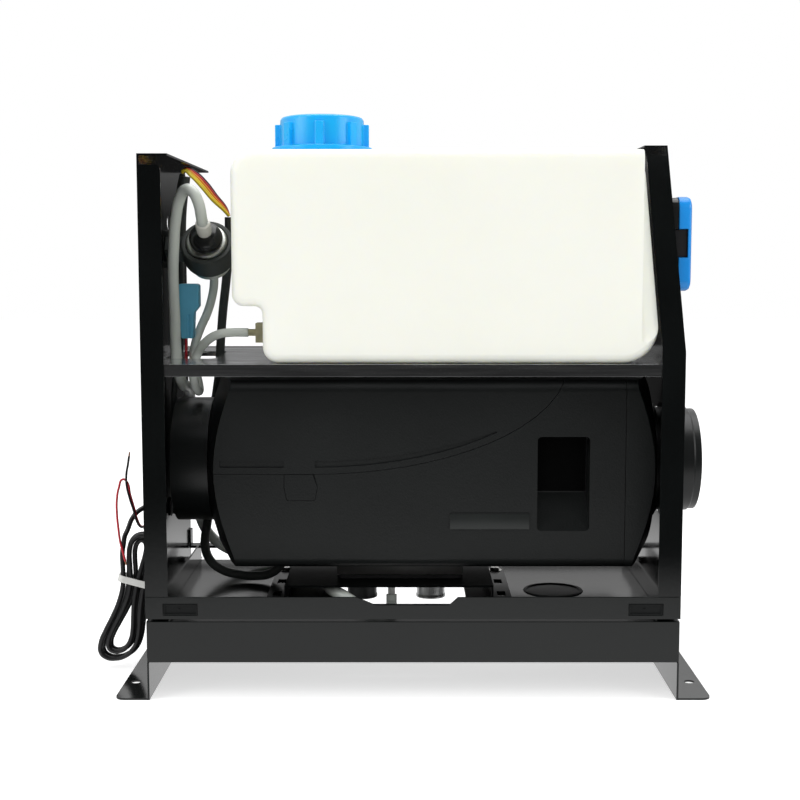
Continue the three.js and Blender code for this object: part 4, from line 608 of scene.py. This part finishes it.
# Hoses and wiring. The fuel hoses are milky nylon, the looms are sleeved in black, and the
# thin signal wires cross from one loom to the other at the top.
hose_milk = milky_hose("hose_milk", (0.74, 0.78, 0.73))
sleeve_black = surface("sleeve_black", (0.045, 0.05, 0.047), 0.36, mottle=(60, 0.2), grain=(900, 0.3))
outlet_hose = tube("outlet_hose", [
    on_pump(35.6), on_pump(40.6), (-164.5, -50, 374), (-168.5, -49, 381), (-174.5, -44, 383),
    (-180.5, -37, 376), (-184.5, -32, 362), (-187, -29, 340), (-188.5, -25, 315), (-188.5, -21, 285),
    (-188.5, -19, 262), (-187.6, -14, 242), (-186.8, 2, 229), (-186.8, 26, 224), (-187.6, 46, 212),
    (-188.5, 58, 192), (-188.5, 62, 168), (-188, 60, 140), (-184, 57, 114), (-174, 56, 93),
    (-156, 58, 79), (-134, 64, 71), (-112, 68, 68.6), (-92, 67, 68.4), (-76, 54, 68.4),
    (-69, 30, 68.4), (-68.5, 0, 68.4), (-68, -24, 68.4), (-64, -42, 68.4), (-56, -53, 68),
    (-45, -57, 62), (-33, -53, 54), (-23, -42, 47), (-18, -29, 43.5), (-17, -17, 45),
    (-17, -10.6, 51), (-17, -10, 57.2),
], 4.4, hose_milk)
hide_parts("fuel_hose_outlet")
supply_hose = tube("supply_hose", [
    (-127.1, -50, 273.5), (-139, -50, 273.5), (-150, -48.5, 272), (-160, -43, 266.5), (-168, -37, 257),
    (-172.5, -33, 244), (-172.5, -29, 232), (-171, -20, 225), (-171.5, -9, 226.5), (-174.5, -1.5, 236),
    (-178, 5, 248), (-178, 11.5, 259), (-174.5, 18.5, 272), (-169, 25, 286), (-165.5, 29, 299),
    (-163.2, 25, 311), on_pump(-36.3), on_pump(-33.3),
], 3.5, hose_milk)
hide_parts("fuel_hose_supply")
wiring_loom = tube("wiring_sleeve", [
    (-151, 32, 364), (-151.5, 32.5, 345), (-154, 33.5, 315), (-157.5, 33, 285), (-159.5, 31.5, 258),
    (-161, 34, 238), (-165, 46, 220), (-169, 58, 203), (-171, 65, 182), (-172, 64, 152),
    (-172.5, 54, 126), (-174, 40, 106), (-174, 25, 91), (-168, 14, 80), (-158, 9, 73.5),
    (-145, 7, 70), (-130, 5.5, 69), (-117, 4, 71.5), (-108.5, 3, 79), (-106, 2.5, 86), (-106, 2.5, 91.7),
], 3.75, sleeve_black)
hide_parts("wiring_loom")
supply_loom = tube("supply_sleeve", [
    (-194.1, 2, 122), (-194.1, 2, 138), (-194.1, 2, 165), (-194.1, 2, 200), (-194.1, 4, 222),
    (-192.8, 9, 239), (-191.1, 13.5, 249), (-190.2, 18, 262), (-190, 22, 285), (-190, 24, 325),
    (-190, 21, 360), (-189, 16, 385), (-186, 14, 398),
], 2.4, sleeve_black)
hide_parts("supply_loom")

SIGNAL_ROUTE = [
    (-185.8, 14, 398.9), (-183.5, 14.5, 402), (-176, 17.5, 398.5), (-168, 21.5, 390.5),
    (-160, 26, 379.5), (-153.5, 30.5, 371), (-151.1, 31.9, 364.9),
]
SIGNAL_WIRE, LEAD_WIRE, LEAD_APART = 1.15, 0.95, 0.9
wire_yellow = surface("wire_yellow", (0.9, 0.68, 0.04), 0.35, mottle=(90, 0.08))
wire_orange = surface("wire_orange", (0.88, 0.3, 0.03), 0.35, mottle=(90, 0.08))


def fanned(across, up, back):
    """The signal route pushed aside along its middle, so that wires which share their ends fan out."""
    last = len(SIGNAL_ROUTE) - 1
    bulge = [math.sin(math.pi * k / last) for k in range(last + 1)]
    return [
        (x + across * b, y + back * (0.3 + 0.7 * b), z + up * b)
        for (x, y, z), b in zip(SIGNAL_ROUTE, bulge)
    ]


signal_wire = tube(
    "signal_wire_yellow", fanned(-3.4, -2.6, -4.8), SIGNAL_WIRE, wire_yellow, rings=3,
)
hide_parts("signal_wires")
for name, across, up, back, finish in (
    ("yellow_back", -2.6, -1.8, -2.4, wire_yellow),
    ("orange", -1.6, -0.6, 0, wire_orange),
    ("red", -0.8, 0.6, 2.4, core_red),
    ("black", -0.6, 1.8, 4.8, cord_black),
):
    tube("signal_wire_" + name, fanned(across, up, back), SIGNAL_WIRE, finish, rings=3)

# Supply loom's upper end: a wider braided sleeve of black polyester, pushed over the joints
# where the signal wires come out.
tube("supply_braid", [
    (-189.6, 22.6, 342), (-189.2, 21, 358), (-187.6, 17.8, 374), (-185.4, 15.6, 388), (-184.2, 14.6, 396),
], 4.4, sleeve_black)

# Connector and fuel stub: a blue nylon housing hangs on two red leads beside the supply loom.
# The stub is a white nylon pipe under the heater, on which the outlet hose ends.
LEADS_ROUTE = [
    (-183, 1, 265.7), (-183.2, 1, 258), (-184.2, 2.5, 248), (-187.5, 6, 240), (-189.4, 8.2, 237.2),
]
front_route, back_route = (
    [(x, y + side * LEAD_APART, z) for x, y, z in LEADS_ROUTE] for side in (-1, 1)
)
red_leads = tube("red_lead_front", front_route, LEAD_WIRE, core_red, rings=3)
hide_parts("red_leads")
tube("red_lead_back", back_route, LEAD_WIRE, core_red, rings=3)
connector_blue = surface(
    "connector_blue", (0.13, 0.52, 0.76), 0.4, mottle=(60, 0.08), grain=(900, 0.05),
)
stub_white = surface("stub_white", (0.75, 0.75, 0.72), 0.35)
dressed("blue_connector", connector_blue, edge=0.6)
dressed("fuel_stub", stub_white, edge=0.3)


def rounded_plate(name, low, high, edge, finish):
    """A small flat plate with its edges rounded over, between two opposite corners."""
    bm = bmesh.new()
    middle = (at(*low) + at(*high)) / 2
    size = [(b - a) * MM for a, b in zip(low, high)]
    bmesh.ops.create_cube(bm, size=1, matrix=Matrix.Translation(middle) @ Matrix.Diagonal((*size, 1)))
    bmesh.ops.bevel(
        bm, geom=bm.edges[:], offset=edge * MM, offset_type="OFFSET", segments=3, profile=0.5,
        affect="EDGES", clamp_overlap=True, material=-1,
    )
    return finished(name, bm, finish)


# Blank plate: a smooth satin plate with nothing printed on it, punched from thin plastic and
# glued to the casing's raised pad.
plate_satin = surface("plate_satin", (0.017, 0.02, 0.019), 0.3, mottle=(18, 0.1), grain=(900, 0.03))
rounded_plate(
    "casing_blank_plate", (28.6, -70.95, 123.3), (89.5, -70.6, 135.2), 0.16, plate_satin,
)

# Window's inside: a thin matt black plate just in front of the window pocket's back, painted
# shade that stands in for the dark space inside the casing behind the opening.
painted_shade_black = surface(
    "painted_shade_black", (0.0012, 0.0013, 0.0013), 0.7, mottle=(40, 0.1), grain=(900, 0.05), gloss=0.08,
)
rounded_plate(
    "window_painted_shade_plate", (96.0, -48.6, 149.2), (135.1, -48.1, 194.0), 0.12, painted_shade_black,
)


# Controller: a blue bezel on a black back with a rubber grip at its side, and a dark window
# above a row of four round buttons. It is stuck to the right panel's outer face.
BUTTONS = 4
bezel_blue = surface("bezel_blue", (0.01, 0.3, 0.85), 0.22, mottle=(25, 0.05), grain=(900, 0.02))
window_dark = surface("window_dark", (0.008, 0.012, 0.016), 0.06, mottle=(25, 0.05), grain=(900, 0.0))
dressed("controller_bezel", bezel_blue, edge=0.6, segments=3)
dressed("controller_base", end_black, edge=0.4)
rounded_plate(
    "controller_side_grip", (203.2, -36.6, 331.4), (213.4, -33.2, 352.6), 0.5, soft_rubber,
)
dressed("controller_screen", window_dark, edge=0.2)
for k in range(1, BUTTONS + 1):
    dressed(
        f"controller_button_{k}", bezel_blue, edge=0.5, segments=3, body=f"button_{k}",
    )


# Studio: a pale floor under a white surround, with soft lamps above, at both sides and in
# front. A reflection sees the floor bright round the object and dark further out, and a dark
# card in front and behind, as in a room with its lights off.
FLOOR_REACH = 6
POOL_EDGE, POOL_END = 0.35, 0.95
POOL_LEVEL, DARK_LEVEL = 0.85, 0.03
SURROUND_LEVEL = 0.54
FLOOR_GLOW = 0.6
CARD_DARK_TO, CARD_PALE_FROM, CARD_PALE = 0.45, 0.85, 0.5
FLOOR_GREY, FLOOR_ROUGH = 0.9, 0.8
LAMP_AIM, FRONT_AIM = (0, 0, 0.2), (0, 0, 0.25)


def flat_stage(name, matrix, size, finish):
    """A square sheet of the studio, which isn't part of the object."""
    sheet = bmesh.new()
    bmesh.ops.create_grid(sheet, x_segments=1, y_segments=1, size=size, matrix=matrix)
    data = bpy.data.meshes.new(name)
    sheet.to_mesh(data)
    sheet.free()
    data.materials.append(finish)
    stage = bpy.data.objects.new(name, data)
    bpy.context.scene.collection.objects.link(stage)
    return stage


def seen_by(tree, *kinds):
    """One for a ray of any of these kinds, and nought for the others."""
    ray = tree.nodes.new("ShaderNodeLightPath")
    seen = ray.outputs[kinds[0]]
    for kind in kinds[1:]:
        either = tree.nodes.new("ShaderNodeMath")
        either.operation = "MAXIMUM"
        tree.links.new(seen, either.inputs[0])
        tree.links.new(ray.outputs[kind], either.inputs[1])
        seen = either.outputs[0]
    return seen


floor_paint = bpy.data.materials.new("floor_paint")
floor_paint.use_nodes = True
floor_tree = floor_paint.node_tree
floor_shader = floor_tree.nodes["Principled BSDF"]
floor_shader.inputs["Base Color"].default_value = (FLOOR_GREY, FLOOR_GREY, FLOOR_GREY, 1)
floor_shader.inputs["Roughness"].default_value = FLOOR_ROUGH
floor_shader.inputs["Emission Color"].default_value = (1, 1, 1, 1)
glow = floor_tree.nodes.new("ShaderNodeMath")
glow.operation = "MULTIPLY"
glow.inputs[1].default_value = FLOOR_GLOW
seen_straight = seen_by(floor_tree, "Is Camera Ray", "Is Transmission Ray")
floor_tree.links.new(seen_straight, glow.inputs[0])
floor_tree.links.new(glow.outputs[0], floor_shader.inputs["Emission Strength"])
floor_place = floor_tree.nodes.new("ShaderNodeTexCoord")
from_middle = floor_tree.nodes.new("ShaderNodeVectorMath")
from_middle.operation = "LENGTH"
floor_tree.links.new(floor_place.outputs["Object"], from_middle.inputs[0])
pool = floor_tree.nodes.new("ShaderNodeMapRange")
pool.interpolation_type = "SMOOTHSTEP"
pool.inputs["From Min"].default_value = POOL_EDGE
pool.inputs["From Max"].default_value = POOL_END
pool.inputs["To Min"].default_value = POOL_LEVEL
pool.inputs["To Max"].default_value = DARK_LEVEL
floor_tree.links.new(from_middle.outputs["Value"], pool.inputs["Value"])
mirrored = floor_tree.nodes.new("ShaderNodeEmission")
floor_tree.links.new(pool.outputs["Result"], mirrored.inputs["Strength"])
floor_mix = floor_tree.nodes.new("ShaderNodeMixShader")
floor_tree.links.new(seen_by(floor_tree, "Is Glossy Ray"), floor_mix.inputs["Fac"])
floor_tree.links.new(floor_shader.outputs["BSDF"], floor_mix.inputs[1])
floor_tree.links.new(mirrored.outputs["Emission"], floor_mix.inputs[2])
floor_tree.links.new(floor_mix.outputs["Shader"], floor_tree.nodes["Material Output"].inputs["Surface"])
flat_stage("studio_floor", Matrix(), FLOOR_REACH, floor_paint)


def card_paint(name):
    """A black surface with a faint glow, for a card that only reflections see."""
    paint = bpy.data.materials.new(name)
    paint.use_nodes = True
    shader = paint.node_tree.nodes["Principled BSDF"]
    shader.inputs["Base Color"].default_value = (0, 0, 0, 1)
    shader.inputs["Specular IOR Level"].default_value = 0
    shader.inputs["Emission Color"].default_value = (1, 1, 1, 1)
    shader.inputs["Emission Strength"].default_value = DARK_LEVEL
    return paint


front_dark = card_paint("front_dark")
dark_card = card_paint("dark_card")
card_tree = dark_card.node_tree
card_place = card_tree.nodes.new("ShaderNodeTexCoord")
card_height = card_tree.nodes.new("ShaderNodeSeparateXYZ")
card_fade = card_tree.nodes.new("ShaderNodeMapRange")
card_fade.inputs["From Min"].default_value = CARD_DARK_TO
card_fade.inputs["From Max"].default_value = CARD_PALE_FROM
card_fade.inputs["To Min"].default_value = DARK_LEVEL
card_fade.inputs["To Max"].default_value = CARD_PALE
card_tree.links.new(card_place.outputs["Object"], card_height.inputs["Vector"])
card_tree.links.new(card_height.outputs["Z"], card_fade.inputs["Value"])
card_tree.links.new(
    card_fade.outputs["Result"], card_tree.nodes["Principled BSDF"].inputs["Emission Strength"],
)
stood_up = Matrix.Rotation(math.pi / 2, 4, "X")
for name, place, wide, high, finish in (
    ("front_card", (0, -1.16, 1.9), 2.2, 1.9, front_dark),
    ("back_card", (0, 3.0, 0.43), 3.2, 0.43, dark_card),
):
    shape = Matrix.Translation(place) @ stood_up @ Matrix.Diagonal((wide, high, 1, 1))
    card = flat_stage(name, shape, 1, finish)
    card.visible_camera = False
    card.visible_diffuse = False
    card.visible_transmission = False
    card.visible_shadow = False

world = bpy.data.worlds.new("studio_surround")
bpy.context.scene.world = world
world.use_nodes = True
sky = world.node_tree
plain = sky.nodes["Background"]
plain.inputs["Color"].default_value = (1, 1, 1, 1)
level = sky.nodes.new("ShaderNodeMapRange")
level.inputs["To Min"].default_value = SURROUND_LEVEL
level.inputs["To Max"].default_value = 1.0
seen_bright = seen_by(sky, "Is Camera Ray", "Is Glossy Ray", "Is Transmission Ray")
sky.links.new(seen_bright, level.inputs["Value"])
sky.links.new(level.outputs["Result"], plain.inputs["Strength"])


def soft_lamp(name, place, target, size, power):
    """A square soft box that faces a point."""
    lamp = bpy.data.lights.new(name, "AREA")
    lamp.size = size
    lamp.energy = power
    holder = bpy.data.objects.new(name, lamp)
    holder.location = place
    holder.rotation_euler = (Vector(target) - Vector(place)).to_track_quat("-Z", "Y").to_euler()
    bpy.context.scene.collection.objects.link(holder)
    return holder


soft_lamp("top_lamp", (0, 0.15, 1.7), LAMP_AIM, 1.4, 14.5)
soft_lamp("left_lamp", (-1.5, -1.0, 1.0), LAMP_AIM, 0.9, 9)
soft_lamp("right_lamp", (1.6, -0.9, 0.9), LAMP_AIM, 0.9, 7)
front_lamp = soft_lamp("front_lamp", (0, -1.7, 0.6), FRONT_AIM, 1.0, 2.6)
front_lamp.visible_glossy = False

bpy.context.scene.view_settings.view_transform = "Standard"
